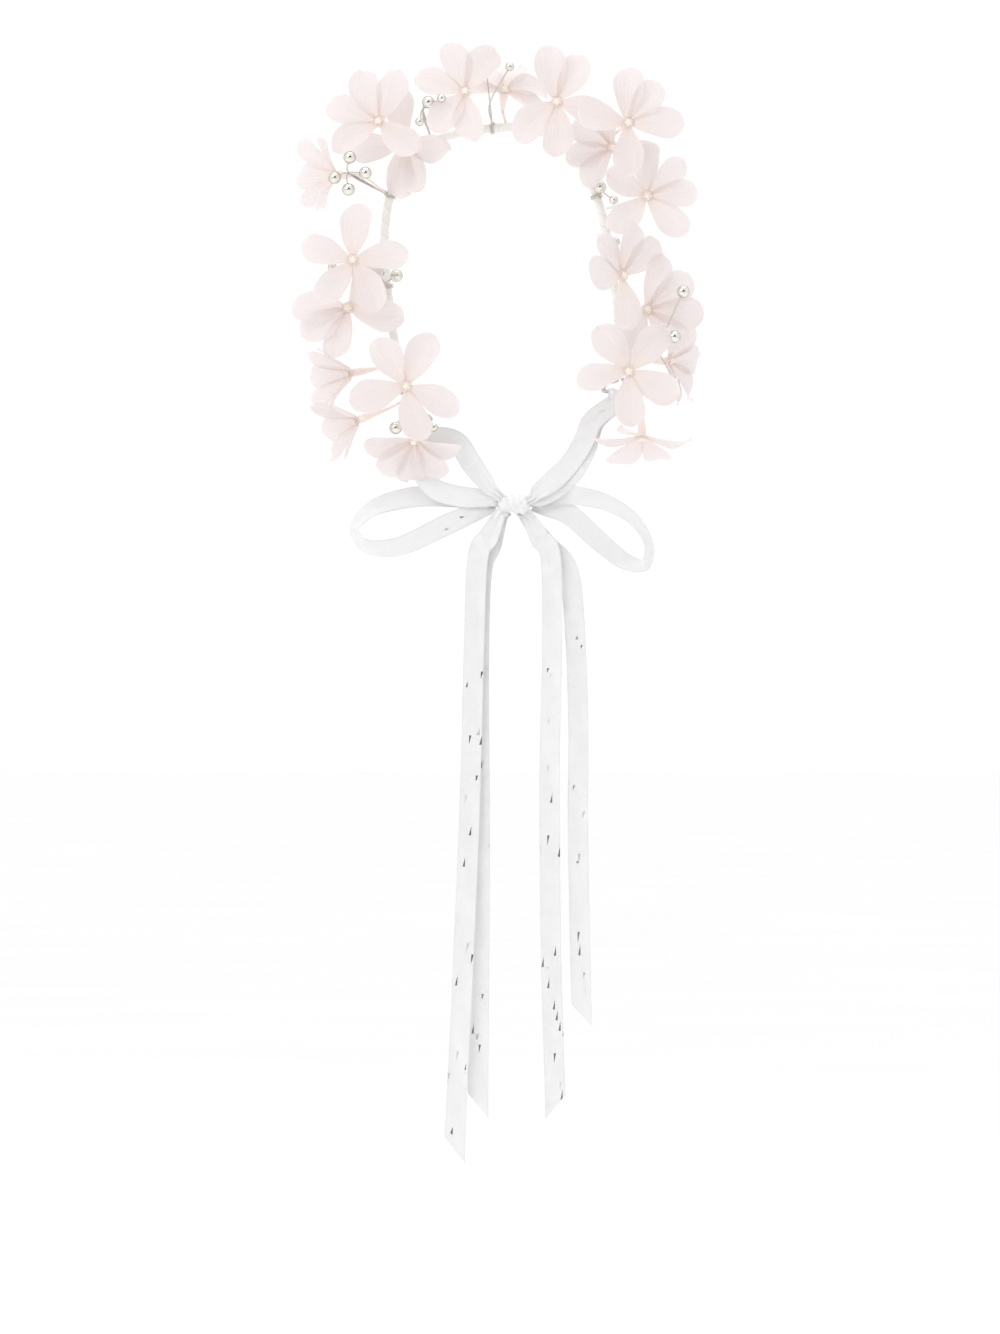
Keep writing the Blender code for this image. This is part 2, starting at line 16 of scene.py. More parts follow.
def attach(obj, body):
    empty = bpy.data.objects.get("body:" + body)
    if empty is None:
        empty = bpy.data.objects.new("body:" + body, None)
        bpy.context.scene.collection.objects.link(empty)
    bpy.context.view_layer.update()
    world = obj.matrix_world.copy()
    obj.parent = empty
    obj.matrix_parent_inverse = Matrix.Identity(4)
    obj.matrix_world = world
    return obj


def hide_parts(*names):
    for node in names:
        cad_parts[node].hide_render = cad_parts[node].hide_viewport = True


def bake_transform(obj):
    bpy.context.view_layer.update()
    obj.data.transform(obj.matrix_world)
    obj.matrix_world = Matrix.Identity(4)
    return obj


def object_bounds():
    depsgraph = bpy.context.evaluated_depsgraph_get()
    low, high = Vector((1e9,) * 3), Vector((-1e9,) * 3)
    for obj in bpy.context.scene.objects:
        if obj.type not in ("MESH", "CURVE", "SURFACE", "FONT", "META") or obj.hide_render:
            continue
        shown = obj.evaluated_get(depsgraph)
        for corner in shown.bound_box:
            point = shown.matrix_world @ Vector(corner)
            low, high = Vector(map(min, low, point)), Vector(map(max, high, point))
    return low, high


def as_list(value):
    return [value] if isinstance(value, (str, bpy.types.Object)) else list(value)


bl_info = {
    "name": "Flower Crown",
    "version": (1, 0, 0),
    "blender": (4, 5, 0),
    "location": "View3D > Sidebar > Crown",
    "description": "Builds a crown of cloth blossoms, pearl sprigs and satin ribbons",
    "category": "Add Mesh",
}

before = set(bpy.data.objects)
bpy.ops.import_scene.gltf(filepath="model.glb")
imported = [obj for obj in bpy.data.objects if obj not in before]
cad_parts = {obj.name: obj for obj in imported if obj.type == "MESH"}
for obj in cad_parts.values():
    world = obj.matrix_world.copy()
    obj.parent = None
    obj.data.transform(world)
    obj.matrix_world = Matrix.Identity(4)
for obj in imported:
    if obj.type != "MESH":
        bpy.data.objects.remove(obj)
CAD_BOX = [list(corner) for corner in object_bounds()]

MM = 0.001
FRONT = Vector((0, -1, 0))

# The band: a rounded oval, leaning a little, open at the bottom.
BAND_HALF_WIDTH = 0.0563
BAND_HALF_HEIGHT = 0.0836
BAND_SQUARENESS = 2.87
BAND_TILT = 7.2
BAND_START = -134.0
BAND_END = 131.0
CLEARANCE = 0.0003
WIRE_RADIUS = 0.0009
TAPE_WALL = 0.0009
TAPE_RADIUS = WIRE_RADIUS + CLEARANCE + TAPE_WALL
TAPE_LAP_STEP = 0.00022
TAPE_PITCH = 0.0065
EYE_NECK = 0.0040
EYE_DROP = 0.0055
EYE_SHARE = 0.78

# The blossoms.
PETAL_THICKNESS = 0.0004
PETAL_DISH = 0.0012
PETAL_CURL = 0.0025
PETAL_STAGGER = 3.5
COROLLA_HOLE = 0.0012
COROLLA_EYE = 0.0028
PIP_RADIUS = 0.0017
PIP_HEIGHT = 0.0024
CALYX_RADIUS = 0.0021
CALYX_LENGTH = 0.0125
STEM_RADIUS = 0.0006
WIDEST_AT = 0.64
ROOT_SHARE = 0.24
TIP_MARGIN = 3.0

# The sprigs and the bow.
SPRIG_WIRE_RADIUS = 0.0004
STRAND_RADIUS = 0.00017
TWIST_PITCH = 0.0022
WINDING_TURNS = 2
WINDING_LENGTH = 0.0022
WINDING_STEPS = 60
RIBBON_THICKNESS = 0.0004
RIBBON_CAMBER = 0.0005
KNOT_DROP = 0.0209
KNOT_ASIDE = 0.0060
KNOT_HALF_LENGTH = 0.0080
KNOT_RADIUS = 0.0052
KNOT_ENTRY = KNOT_HALF_LENGTH + 4 * CLEARANCE
KNOT_CENTRE = Vector((KNOT_ASIDE, 0, -BAND_HALF_HEIGHT - KNOT_DROP))

# Each flower: angle on the band, distance outside and in front of the wire (mm), the way it faces
# (degrees turned right and up), size, how far its petals close, and the direction of each petal.
FLOWERS = (
    (22, 15.6, 22, 8, 5, 1.00, 8, (103, 57, -14, -88, 215)),
    (37, 30.0, 29, 12, 8, 0.97, 10, (92, 52, 0, -92, 172)),
    (56.5, 23.7, 18, 11, 1, 0.94, 11, (95, 45, 4, -50, -135, 155)),
    (88.5, 4.7, 25, 35, 5, 1.00, 20, (130, 182, -94, 41, 86)),
    (106, 14.7, 14, 20, 5, 1.02, 15, (75, 35, -7, -50, -125)),
    (130.5, 5.4, 26, -3, -3, 1.00, 10, (121, 187, -89, -29, 52)),
    (125.5, 25.4, 0, 60, 0, 0.90, 20, (95, 48, 0, -48, -95)),
    (147, 21.0, 12, 0, -67, 0.92, 15, (180, 108, 0, -60, -120)),
    (-3.5, 18.5, 21, 0, 20, 0.98, 12, (163, 105, 62, -88, -126)),
    (-25.5, 23.0, 17, -15, 10, 0.98, 15, (115, 160, 65, 214, -40)),
    (-40, 29.3, 12, -65, 0, 0.88, 40, (60, 120, 180, 240, 300)),
    (-66, 15.7, 26, -3, 3, 1.00, 10, (87, 164, 8, -60, -125)),
    (-87, 20.5, 16, -5, 0, 1.00, 12, (176, 214, 256, 52, -14)),
    (-131.5, 28.3, 17, -75, -20, 0.88, 50, (60, 120, 180, 240, 300)),
    (-126.5, -0.9, 22, 5, 0, 1.00, 12, (69, -22, 122, -80, 195)),
    (-144, 7.6, 16, -6, -44, 0.92, 16, (185, 223, 262, 305, 350)),
    (-24.5, 7.8, 3, -25, 0, 1.00, 15, (-15, -62, -92, 92, 192)),
    (39.5, 17.5, 13, 2, 1, 0.86, 7, (192, 226, 150, 108, -12)),
    (8.5, 17.9, 3, 5, 40, 0.88, -15, (-18, 28, 72, 120, 165)),
    (-116, 24.9, 3.5, -70, -10, 0.88, 55, (60, 120, 180, 240, 300)),
)

# Each sprig: the angle where its wire is wound on the band, where it forks, and its beads: angle,
# distance outside and in front of the wire (mm), and whether the bead is a full-size one.
SPRIGS = (
    (
        -41,
        (-39, 21.8, 25),
        (
            (-35.5, 24.6, 30, True),
            (-41, 28.3, 29, True),
            (-37.5, 14.6, 28, True),
            (-43, 20.2, 30, True),
        ),
    ),
    (-17, (-16, 15, 18), ((-14, 17.5, 26, True), (-18, 10.5, 24, False), (-10.5, 17.2, 30, False))),
    (-78, (-77, 1, 8), ((-74, -5.2, 13, True), (-72, 3.7, 15, True), (-68, 26.3, 14, False))),
    (4, (4, 12, 13), ((4, 34.1, 11, False), (10, 29.4, 14, False))),
    (51, (50, 3, 5), ((48.5, 3.0, 11, True), (54.5, 7.3, 12, False))),
    (74, (73, 2, 6), ((71.5, 3.7, 13, False),)),
    (
        121,
        (122, 17, 17),
        (
            (100, 33.5, 25, True),
            (115.5, 21.4, 26, False),
            (118, 27.3, 27, True),
            (132, 29, 20, False),
        ),
    ),
    (-128, (-133, 3, 9), ((-138, 12, 18, True), (-144.5, -4, 20, False))),
)

# Ribbon routes: x, y, z in mm from the knot, roll in degrees and share of the full width. Roll 0
# shows the ribbon's face to the front, and 90 its edge.
LEFT_FRONT_STRAND = ((-12.5, -3.4, 9, 0, 0.75), (-21, -3.4, 20.5, 0, 1), (-29.5, -3.0, 32, 0, 1))
LEFT_BACK_STRAND = (
    (-14, -1.2, 3.2, 0, 0.8),
    (-28, -1.4, 4.3, 8, 1),
    (-40, -1.6, 8.5, 15, 1),
    (-46, -0.6, 19, 10, 1),
    (-43.5, 0.6, 31, 0, 1),
)
RIGHT_FRONT_STRAND = (
    (12, -3.4, 6.5, 0, 0.75),
    (20, -3.6, 12.5, 10, 1),
    (28.5, -3.8, 21.3, 20, 1),
    (35, -3.4, 32, 5, 1),
    (39.5, -2.6, 42, 0, 1),
)
RIGHT_BACK_STRAND = (
    (13, -1.2, 3.4, 0, 0.8),
    (21, -1.2, 8.5, 0, 1),
    (30, -1.0, 17, 10, 1),
    (36.5, -0.6, 29.5, 5, 1),
    (40.5, 0.4, 42, 0, 1),
)
LEFT_LOOP = (
    (-9.4, 1.2, 0, 0, 0.55),
    (-15, 1.2, -1.5, 0, 0.85),
    (-35, 0.6, -10.5, -8, 1),
    (-57, -0.5, -20.5, -28, 1),
    (-73, 0, -20.5, -52, 1),
    (-79.5, 2, -12.5, -62, 1),
    (-73, 4, -3.5, -48, 1),
    (-60, 4.2, 2, -22, 1),
    (-43, 3.8, 4.5, -8, 1),
    (-20, 3.4, 3, 0, 0.9),
    (-9.4, 3.4, 0.5, 0, 0.55),
)
RIGHT_LOOP = (
    (9.4, 1.2, 1.2, 0, 0.55),
    (16, 1.2, 4.0, 0, 0.9),
    (30, 1.0, 5.0, 25, 1),
    (47, 0.6, 1.0, 44, 1),
    (61, 0.4, -8, 56, 1),
    (68, 1.2, -20, 64, 1),
    (65.5, 2.6, -30, 58, 1),
    (55, 3.8, -28, 36, 1),
    (42, 3.8, -17.5, 20, 1),
    (28, 3.4, -5, 8, 1),
    (15.5, 3.4, -1.2, 0, 0.8),
    (9.4, 3.4, 0, 0, 0.55),
)

# Each tail: where it leaves the knot and where it starts to hang (x, z), the depth it hangs at, its
# later points (x, z), all in mm from the knot, how much its cut end slants, down to the right, and
# how far it turns on its way down.
TAILS = (
    (
        (-7, -5),
        (-18, -27),
        -6.0,
        ((-20, -75), (-22, -150), (-25.5, -235), (-29.6, -322)),
        -1.25,
        -7,
    ),
    (
        (-6, -6),
        (-16, -34),
        -2.2,
        ((-17.4, -80), (-17, -150), (-17.2, -220), (-17.8, -300)),
        -1.2,
        -9,
    ),
    ((7, -5.5), (18.5, -27), 2.2, ((19.2, -75), (18, -130), (18.5, -215), (20.8, -301)), 1.1, 10),
    ((6, -6), (27.5, -34), 6.0, ((31, -70), (32.3, -115), (32.2, -165), (34, -255)), -1.1, -10),
)

# The view: how far the camera stands, and what it takes in at the crown's plane.
VIEW_DISTANCE = 5.0
VIEW_HEIGHT = 0.667
VIEW_CENTRE = Vector((-0.005, 0, -0.2678))
SENSOR = 36.0

# The floor, and each light: its name, its place from the view's centre, its size and its power.
FLOOR_DROP = 0.12
FLOOR_HALF = 30.0
ROOM_STRENGTH = 1.02
LIGHTS = (
    ("key_light", (-0.9, -1.3, 1.1), 1.2, 7.0),
    ("top_light", (0.1, 0.2, 1.6), 1.6, 6.0),
)


# Sizes and colours to change


COLOUR = {"subtype": "COLOR", "min": 0, "max": 1}


class PetalSettings(bpy.types.PropertyGroup):
    length: FloatProperty(
        name="Petal length",
        description="From the middle of a full-size blossom to a petal's tip",
        default=0.0285,
        min=0.01,
        unit="LENGTH",
    )
    width: FloatProperty(
        name="Petal width",
        description="Across the widest part of a petal",
        default=0.0158,
        min=0.005,
        unit="LENGTH",
    )
    blush: FloatVectorProperty(
        name="Blush",
        description="The cloth's colour over most of a petal",
        default=(0.902, 0.850, 0.845),
        **COLOUR,
    )
    # This peach colour at each blossom's middle is painted glow and shade: it stands in for light
    # shining through the overlapping cloth there, and for the shade between the layers.
    painted_heart_glow: FloatVectorProperty(
        name="Heart",
        description="The dyed colour around the middle of a blossom",
        default=(0.91, 0.815, 0.775),
        **COLOUR,
    )


class BeadSettings(bpy.types.PropertyGroup):
    radius: FloatProperty(
        name="Bead radius",
        description="Half the size of a full-size bead",
        default=0.0031,
        min=0.001,
        unit="LENGTH",
    )
    small_radius: FloatProperty(
        name="Small bead radius",
        description="Half the size of a small bead",
        default=0.0022,
        min=0.001,
        unit="LENGTH",
    )
    colour: FloatVectorProperty(
        name="Pearl",
        description="The beads' silver pearl colour",
        default=(0.83, 0.81, 0.74),
        **COLOUR,
    )


class RibbonSettings(bpy.types.PropertyGroup):
    width: FloatProperty(
        name="Ribbon width",
        description="Across the satin ribbon",
        default=0.0102,
        min=0.0101,
        unit="LENGTH",
    )
    colour: FloatVectorProperty(
        name="Satin", description="The ribbon's colour", default=(0.848, 0.848, 0.854), **COLOUR
    )


class BandSettings(bpy.types.PropertyGroup):
    tape: FloatVectorProperty(
        name="Tape",
        description="The colour of the tape wound on the wire band",
        default=(0.87, 0.85, 0.82),
        **COLOUR,
    )
    stalk: FloatVectorProperty(
        name="Stalk",
        description="The colour of the blossoms' calyxes and stalks",
        default=(0.92, 0.825, 0.78),
        **COLOUR,
    )


# Routes and frames


def band_point(angle):
    """A point on the band's centreline, at an angle clockwise from the top about its centre."""
    turn = math.radians(angle)
    across = abs(math.sin(turn) / BAND_HALF_WIDTH) ** BAND_SQUARENESS
    along = abs(math.cos(turn) / BAND_HALF_HEIGHT) ** BAND_SQUARENESS
    radius = (across + along) ** (-1 / BAND_SQUARENESS)
    lean = turn - math.radians(BAND_TILT)
    return Vector((radius * math.sin(lean), 0, radius * math.cos(lean)))


def band_tangent(angle):
    return (band_point(angle + 0.5) - band_point(angle - 0.5)).normalized()


def band_outward(angle):
    tangent = band_tangent(angle)
    return Vector((-tangent.z, 0, tangent.x))


def beside_band(angle, outside, in_front):
    """A point at this angle on the band, and this far outside and in front of it, in mm."""
    return band_point(angle) + (band_outward(angle) * outside + FRONT * in_front) * MM


def band_path(steps):
    span = BAND_END - BAND_START
    return [band_point(BAND_START + span * step / steps) for step in range(steps + 1)]


def hanging_place():
    """Where the band's centre is, so that the origin is under the band's highest point."""
    crest = max((band_point(step * 0.5) for step in range(-40, 41)), key=lambda point: point.z)
    return Vector((-crest.x, 0, TAPE_RADIUS - crest.z))


def catmull_rom(points, steps):
    """A smooth curve through points, vectors of any size, with the given steps between each two."""
    ends = [points[0] * 2 - points[1], *points, points[-1] * 2 - points[-2]]
    curve = []
    for a, b, c, d in zip(ends, ends[1:], ends[2:], ends[3:]):
        for step in range(steps):
            t = step / steps
            bend = (a * 2 - b * 5 + c * 4 - d) * t**2
            twist = (b * 3 - a - c * 3 + d) * t**3
            curve.append((b * 2 + (c - a) * t + bend + twist) / 2)
    return [*curve, points[-1]]


def tangents_of(path):
    ends = [path[0], *path, path[-1]]
    return [(after - before).normalized() for before, after in zip(ends, ends[2:])]


def lengths_along(path):
    """How far along the path each of its points is."""
    lengths = [0.0]
    for before, after in zip(path, path[1:]):
        lengths.append(lengths[-1] + (after - before).length)
    return lengths


def spokes_along(path, first=None):
    """A sideways direction at each point of a path, carried along without turning about it."""
    tangents = tangents_of(path)
    spoke = first or tangents[0].orthogonal()
    spokes = []
    for before, tangent in zip([tangents[0], *tangents], tangents):
        spoke = before.rotation_difference(tangent) @ spoke
        spoke = (spoke - tangent * spoke.dot(tangent)).normalized()
        spokes.append(spoke)
    return spokes


def smooth_step(value, low, high):
    share = min(max((value - low) / (high - low), 0), 1)
    return share * share * (3 - 2 * share)


# Shapes


def laid_grid(bm, columns, rows, place, uv_size=(1.0, 1.0), uv_shift=0.0):
    """A grid of faces laid where place(across, along) says. Both shares run from 0 to 1."""
    layer = bm.loops.layers.uv.get("UVMap") or bm.loops.layers.uv.new("UVMap")
    verts = bmesh.ops.create_grid(bm, x_segments=columns, y_segments=rows, size=0.5)["verts"]
    shares = {vert: (vert.co.x + 0.5, vert.co.y + 0.5) for vert in verts}
    for vert in verts:
        for loop in vert.link_loops:
            across, along = shares[vert]
            loop[layer].uv = (across * uv_size[0] + uv_shift, along * uv_size[1])
    for vert, (across, along) in shares.items():
        vert.co = place(across, along)
    return verts


def round_tube(bm, path, radii, sides, rib=None, first=None):
    """A closed round tube along path. Its map runs once round it, and along it in metres."""
    spokes = spokes_along(path, first)
    tangents = tangents_of(path)
    lengths = lengths_along(path)
    last = len(path) - 1

    def place(across, along):
        row = round(along * last)
        turn = 2 * math.pi * (round(across * sides) % sides) / sides
        radius = radii[row] + (rib(turn, lengths[row]) if rib else 0.0)
        return path[row] + Quaternion(tangents[row], turn) @ spokes[row] * radius

    verts = laid_grid(bm, sides, last, place, uv_size=(1.0, lengths[-1]))
    doubles = bmesh.ops.find_doubles(bm, verts=verts, dist=1e-7)
    bmesh.ops.weld_verts(bm, targetmap=doubles["targetmap"])
    bmesh.ops.holes_fill(bm, edges=[edge for edge in bm.edges if edge.is_boundary])


def finish_piece(name, bm, materials, body, replaced, closed=True, smooth_angle=None):
    """Makes the shape an object in its place, on its body, standing for the frame's nodes."""
    bmesh.ops.translate(bm, verts=bm.verts, vec=hanging_place())
    if closed:
        bmesh.ops.recalc_face_normals(bm, faces=bm.faces)
    mesh = bpy.data.meshes.new(name)
    bm.to_mesh(mesh)
    bm.free()
    for material in materials:
        mesh.materials.append(material)
    mesh.shade_smooth()
    if smooth_angle:
        mesh.set_sharp_from_angle(angle=math.radians(smooth_angle))
    obj = bpy.data.objects.new(name, mesh)
    bpy.context.scene.collection.objects.link(obj)
    if body:
        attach(obj, body)
    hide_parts(*replaced)
    return obj


def ribbon_rows(route, steps, width, slant):
    """A flat ribbon's rows and its length.

    A row is its middle, half its width as a vector, its face's direction, how far its cut end
    slants there, and its share of the full width.
    """
    curve = catmull_rom([Vector(point) for point in route], steps)
    path = [Vector(point[:3]) * MM for point in curve]
    lengths = lengths_along(path)
    rows = []
    flat = None
    for point, tangent, row, travelled in zip(path, tangents_of(path), curve, lengths):
        level = tangent.cross(FRONT)
        if flat is not None and level.length < 0.5:
            level = flat - tangent * flat.dot(tangent)
        elif flat is not None and level.dot(flat) < 0:
            level.negate()
        flat = level.normalized()
        across = Quaternion(tangent, math.radians(row[3])) @ flat
        share = min(max(row[4], 0.3), 1.0)
        half = across * (width / 2 * share)
        cut = slant * smooth_step(travelled, lengths[-1] - 2.2 * width, lengths[-1])
        rows.append((point, half, tangent.cross(across).normalized(), cut, share))
    return rows, lengths[-1]


def add_ribbon(name, route, steps, satin, body, replaced, held, rests_on, slant=0.0, seed=0):
    """A satin ribbon along a route from the knot's centre."""
    width = bpy.context.scene.crown_ribbon.width
    rows, length = ribbon_rows(route, steps, width, slant)
    chance = random.Random(seed)
    phases = [chance.uniform(0, 2 * math.pi) for _ in range(3)]
    last = len(rows) - 1

    def place(across, along):
        middle, half, face, cut, share = rows[round(along * last)]
        side = 2 * across - 1
        point = middle + half * side
        crumple = (1 - share) * 1.2 * MM * math.sin(side * 7 + phases[0] + along * 9)
        wave = 0.22 * MM * math.sin(side * 2.4 + phases[1] + along * length * 180)
        point += face * (RIBBON_CAMBER * (0.5 - side * side) + crumple + wave)
        point.z += cut * (half * side).x
        return point + KNOT_CENTRE

    bm = bmesh.new()
    laid_grid(bm, 8, last, place, uv_size=(width, length))
    bmesh.ops.solidify(bm, geom=bm.faces[:], thickness=RIBBON_THICKNESS)
    obj = finish_piece(name, bm, [satin], body, replaced, smooth_angle=50)
    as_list(rests_on)
    return obj


# Finishes


def fill_input(tree, socket, value):
    """Gives an input a value, a colour without its alpha, or the socket that it takes."""
    if isinstance(value, bpy.types.NodeSocket):
        tree.links.new(value, socket)
    elif socket.type == "RGBA":
        socket.default_value = (*value, 1)
    else:
        socket.default_value = value


def add_node(tree, kind, inputs=None, **settings):
    """A node of this kind, with its settings and what its inputs take."""
    node = tree.nodes.new(kind)
    for name, value in settings.items():
        setattr(node, name, value)
    for name, value in (inputs or {}).items():
        fill_input(tree, node.inputs[name], value)
    return node


def add_math(tree, operation, first, second=0.0, third=0.0):
    node = add_node(tree, "ShaderNodeMath", {0: first, 1: second}, operation=operation)
    if operation == "MULTIPLY_ADD":
        node.inputs[2].default_value = third
    return node.outputs[0]


def add_ramp(tree, factor, stops):
    ramp = add_node(tree, "ShaderNodeValToRGB", {"Fac": factor})
    elements = ramp.color_ramp.elements
    while len(elements) < len(stops):
        elements.new(0.5)
    for element, (position, colour) in zip(elements, stops):
        element.position = position
        element.color = (*colour, 1)
    return ramp.outputs["Color"]


def mix_colours(tree, factor, first, second, blend="MIX"):
    node = tree.nodes.new("ShaderNodeMix")
    node.data_type = "RGBA"
    node.blend_type = blend
    for index, value in ((0, factor), (6, first), (7, second)):
        fill_input(tree, node.inputs[index], value)
    return node.outputs[2]


def add_bump(tree, height, strength, distance, over=None):
    """A bump of this height, laid over the normal of a finer one."""
    inputs = {"Height": height, "Strength": strength, "Distance": distance}
    if over is not None:
        inputs["Normal"] = over
    return add_node(tree, "ShaderNodeBump", inputs).outputs["Normal"]


def add_range(tree, value, low, high):
    """How far a value is from low to high, from 0 to 1."""
    inputs = {"Value": value, "From Min": low, "From Max": high}
    return add_node(tree, "ShaderNodeMapRange", inputs).outputs["Result"]


def add_noise(tree, vector, scale, detail, roughness=0.5):
    inputs = {"Vector": vector, "Scale": scale, "Detail": detail, "Roughness": roughness}
    return add_node(tree, "ShaderNodeTexNoise", inputs).outputs["Fac"]


def add_grey(tree, shade):
    inputs = {"Red": shade, "Green": shade, "Blue": shade}
    return add_node(tree, "ShaderNodeCombineColor", inputs).outputs["Color"]


def stretched_map(tree, vector, scale, turn=0.0):
    inputs = {"Vector": vector, "Scale": (*scale, 1.0), "Rotation": (0.0, 0.0, turn)}
    return add_node(tree, "ShaderNodeMapping", inputs).outputs["Vector"]


def piece_map(tree):
    """The piece's own map, whole and in its parts."""
    mapped = add_node(tree, "ShaderNodeUVMap", uv_map="UVMap").outputs["UV"]
    return mapped, add_node(tree, "ShaderNodeSeparateXYZ", {"Vector": mapped}).outputs


def object_place(tree):
    return add_node(tree, "ShaderNodeTexCoord").outputs["Object"]


def new_group(name, inputs, outputs):
    """A node group with these inputs and outputs, given by name and kind, and its two ends."""
    tree = bpy.data.node_groups.new(name, "ShaderNodeTree")
    for way, sockets in (("INPUT", inputs), ("OUTPUT", outputs)):
        for label, kind in sockets:
            tree.interface.new_socket(label, in_out=way, socket_type=f"NodeSocket{kind}")
    enter = tree.nodes.new("NodeGroupInput").outputs
    leave = tree.nodes.new("NodeGroupOutput").inputs
    return tree, enter, leave


def new_material(name):
    material = bpy.data.materials.new(name)
    material.use_nodes = True
    return material, material.node_tree, material.node_tree.nodes["Principled BSDF"]


def set_shader(shader, **values):
    for name, value in values.items():
        shader.inputs[name.replace("_", " ")].default_value = value


def woven_threads_group():
    """Threads crossing over and under each other: their height, and a shade for their dips."""
    found = bpy.data.node_groups.get("Woven Threads")
    if found:
        return found
    tree, enter, leave = new_group(
        "Woven Threads",
        (("Vector", "Vector"), ("Warp", "Float"), ("Weft", "Float"), ("Unevenness", "Float")),
        (("Height", "Float"), ("Shade", "Float")),
    )
    split = add_node(tree, "ShaderNodeSeparateXYZ", {"Vector": enter["Vector"]}).outputs
    warp_turns = add_math(tree, "MULTIPLY", split["X"], enter["Warp"])
    weft_turns = add_math(tree, "MULTIPLY", split["Y"], enter["Weft"])
    warp = add_math(tree, "SINE", add_math(tree, "MULTIPLY", warp_turns, 2 * math.pi))
    weft = add_math(tree, "SINE", add_math(tree, "MULTIPLY", weft_turns, 2 * math.pi))
    cross = add_math(tree, "MULTIPLY", warp, weft)
    slubs = add_math(tree, "SUBTRACT", add_noise(tree, enter["Vector"], 900.0, 2.0), 0.5)
    slubs = add_math(tree, "MULTIPLY", slubs, enter["Unevenness"])
    height = add_math(tree, "ADD", add_math(tree, "MULTIPLY_ADD", cross, 0.5, 0.5), slubs)
    shade = add_math(tree, "MULTIPLY_ADD", height, 0.06, 0.94)
    tree.links.new(height, leave["Height"])
    tree.links.new(shade, leave["Shade"])
    return tree


def mottled_tint_group():
    """A colour that drifts between two tints in soft clouds."""
    found = bpy.data.node_groups.get("Mottled Tint")
    if found:
        return found
    tree, enter, leave = new_group(
        "Mottled Tint",
        (("Vector", "Vector"), ("Scale", "Float"), ("Light", "Color"), ("Deep", "Color")),
        (("Colour", "Color"), ("Cloud", "Float")),
    )
    cloud = add_noise(tree, enter["Vector"], enter["Scale"], 3.0, 0.55)
    spread = add_range(tree, cloud, 0.32, 0.68)
    colour = mix_colours(tree, spread, enter["Light"], enter["Deep"])
    tree.links.new(colour, leave["Colour"])
    tree.links.new(cloud, leave["Cloud"])
    return tree


def place_group(tree, group, inputs):
    node = tree.nodes.new("ShaderNodeGroup")
    node.node_tree = group
    for name, value in inputs.items():
        fill_input(tree, node.inputs[name], value)
    return node.outputs


def add_clouds(tree, vector, scale, light, deep):
    inputs = {"Vector": vector, "Scale": scale, "Light": light, "Deep": deep}
    return place_group(tree, mottled_tint_group(), inputs)


def add_weave(tree, vector, warp, weft, unevenness):
    inputs = {"Vector": vector, "Warp": warp, "Weft": weft, "Unevenness": unevenness}
    return place_group(tree, woven_threads_group(), inputs)


def scaled(colour, amount):
    return tuple(min(part * amount, 1.0) for part in colour)


def blended(first, second, share):
    return tuple((1 - share) * a + share * b for a, b in zip(first, second))


def connect(tree, shader, colour, roughness=None, normal=None):
    for name, value in (("Base Color", colour), ("Roughness", roughness), ("Normal", normal)):
        if value is not None:
            tree.links.new(value, shader.inputs[name])


def let_light_through(tree, shader, colour, share):
    """Mixes in the light that comes through thin cloth."""
    through = add_node(tree, "ShaderNodeBsdfTranslucent", {"Color": colour})
    mix = add_node(tree, "ShaderNodeMixShader", {"Fac": share})
    tree.links.new(shader.outputs["BSDF"], mix.inputs[1])
    tree.links.new(through.outputs["BSDF"], mix.inputs[2])
    tree.links.new(mix.outputs["Shader"], tree.nodes["Material Output"].inputs["Surface"])


def petal_cloth(settings):
    """Thin dyed cloth: pale blush petals with pressed ribs and a fine weave, with painted peach
    glow and shade at each blossom's middle and painted shade in the rib grooves and weave dips.
    """
    material, tree, shader = new_material("petal_cloth")
    mapped, split = piece_map(tree)
    light = scaled(settings.blush, 1.03)
    clouds = add_clouds(tree, mapped, 1.3, light, blended(settings.blush, settings.painted_heart_glow, 0.4))
    wander = add_math(tree, "MULTIPLY", add_math(tree, "SUBTRACT", clouds["Cloud"], 0.5), 0.35)
    rib_turns = add_math(tree, "ADD", add_math(tree, "MULTIPLY", split["X"], 7.0), wander)
    ribs = add_math(tree, "COSINE", add_math(tree, "MULTIPLY", rib_turns, 2 * math.pi))
    ribs = add_math(tree, "MULTIPLY", ribs, add_range(tree, split["Y"], 0.98, 0.45))
    weave = add_weave(tree, mapped, 46.0, 82.0, 0.4)
    # Painted glow and shade: peach at each blossom's middle, fading through the blush to paler
    # tips.
    painted_heart_glow = add_ramp(
        tree,
        add_math(tree, "ADD", split["Y"], add_math(tree, "MULTIPLY", wander, 0.35)),
        (
            (0.0, settings.painted_heart_glow),
            (0.13, blended(settings.painted_heart_glow, settings.blush, 0.45)),
            (0.38, scaled(settings.blush, 0.985)),
            (0.75, settings.blush),
            (1.0, light),
        ),
    )
    mottled = mix_colours(tree, 0.5, painted_heart_glow, clouds["Colour"], "MULTIPLY")
    colour = mix_colours(tree, 0.5, painted_heart_glow, mottled)
    # Painted shade: each petal is darkened slightly in the grooves between its pressed ribs.
    painted_rib_shade = add_math(tree, "MULTIPLY_ADD", ribs, 0.006, 0.994)
    shade = add_grey(tree, add_math(tree, "MULTIPLY", painted_rib_shade, weave["Shade"]))
    final = mix_colours(tree, 1.0, colour, shade, "MULTIPLY")
    fine = add_bump(tree, weave["Height"], 0.2, 0.00006)
    connect(tree, shader, final, normal=add_bump(tree, ribs, 0.4, 0.00016, fine))
    set_shader(
        shader, Roughness=0.8, Sheen_Weight=0.15, Sheen_Roughness=0.4, Specular_IOR_Level=0.15
    )
    let_light_through(tree, shader, final, 0.42)
    return material


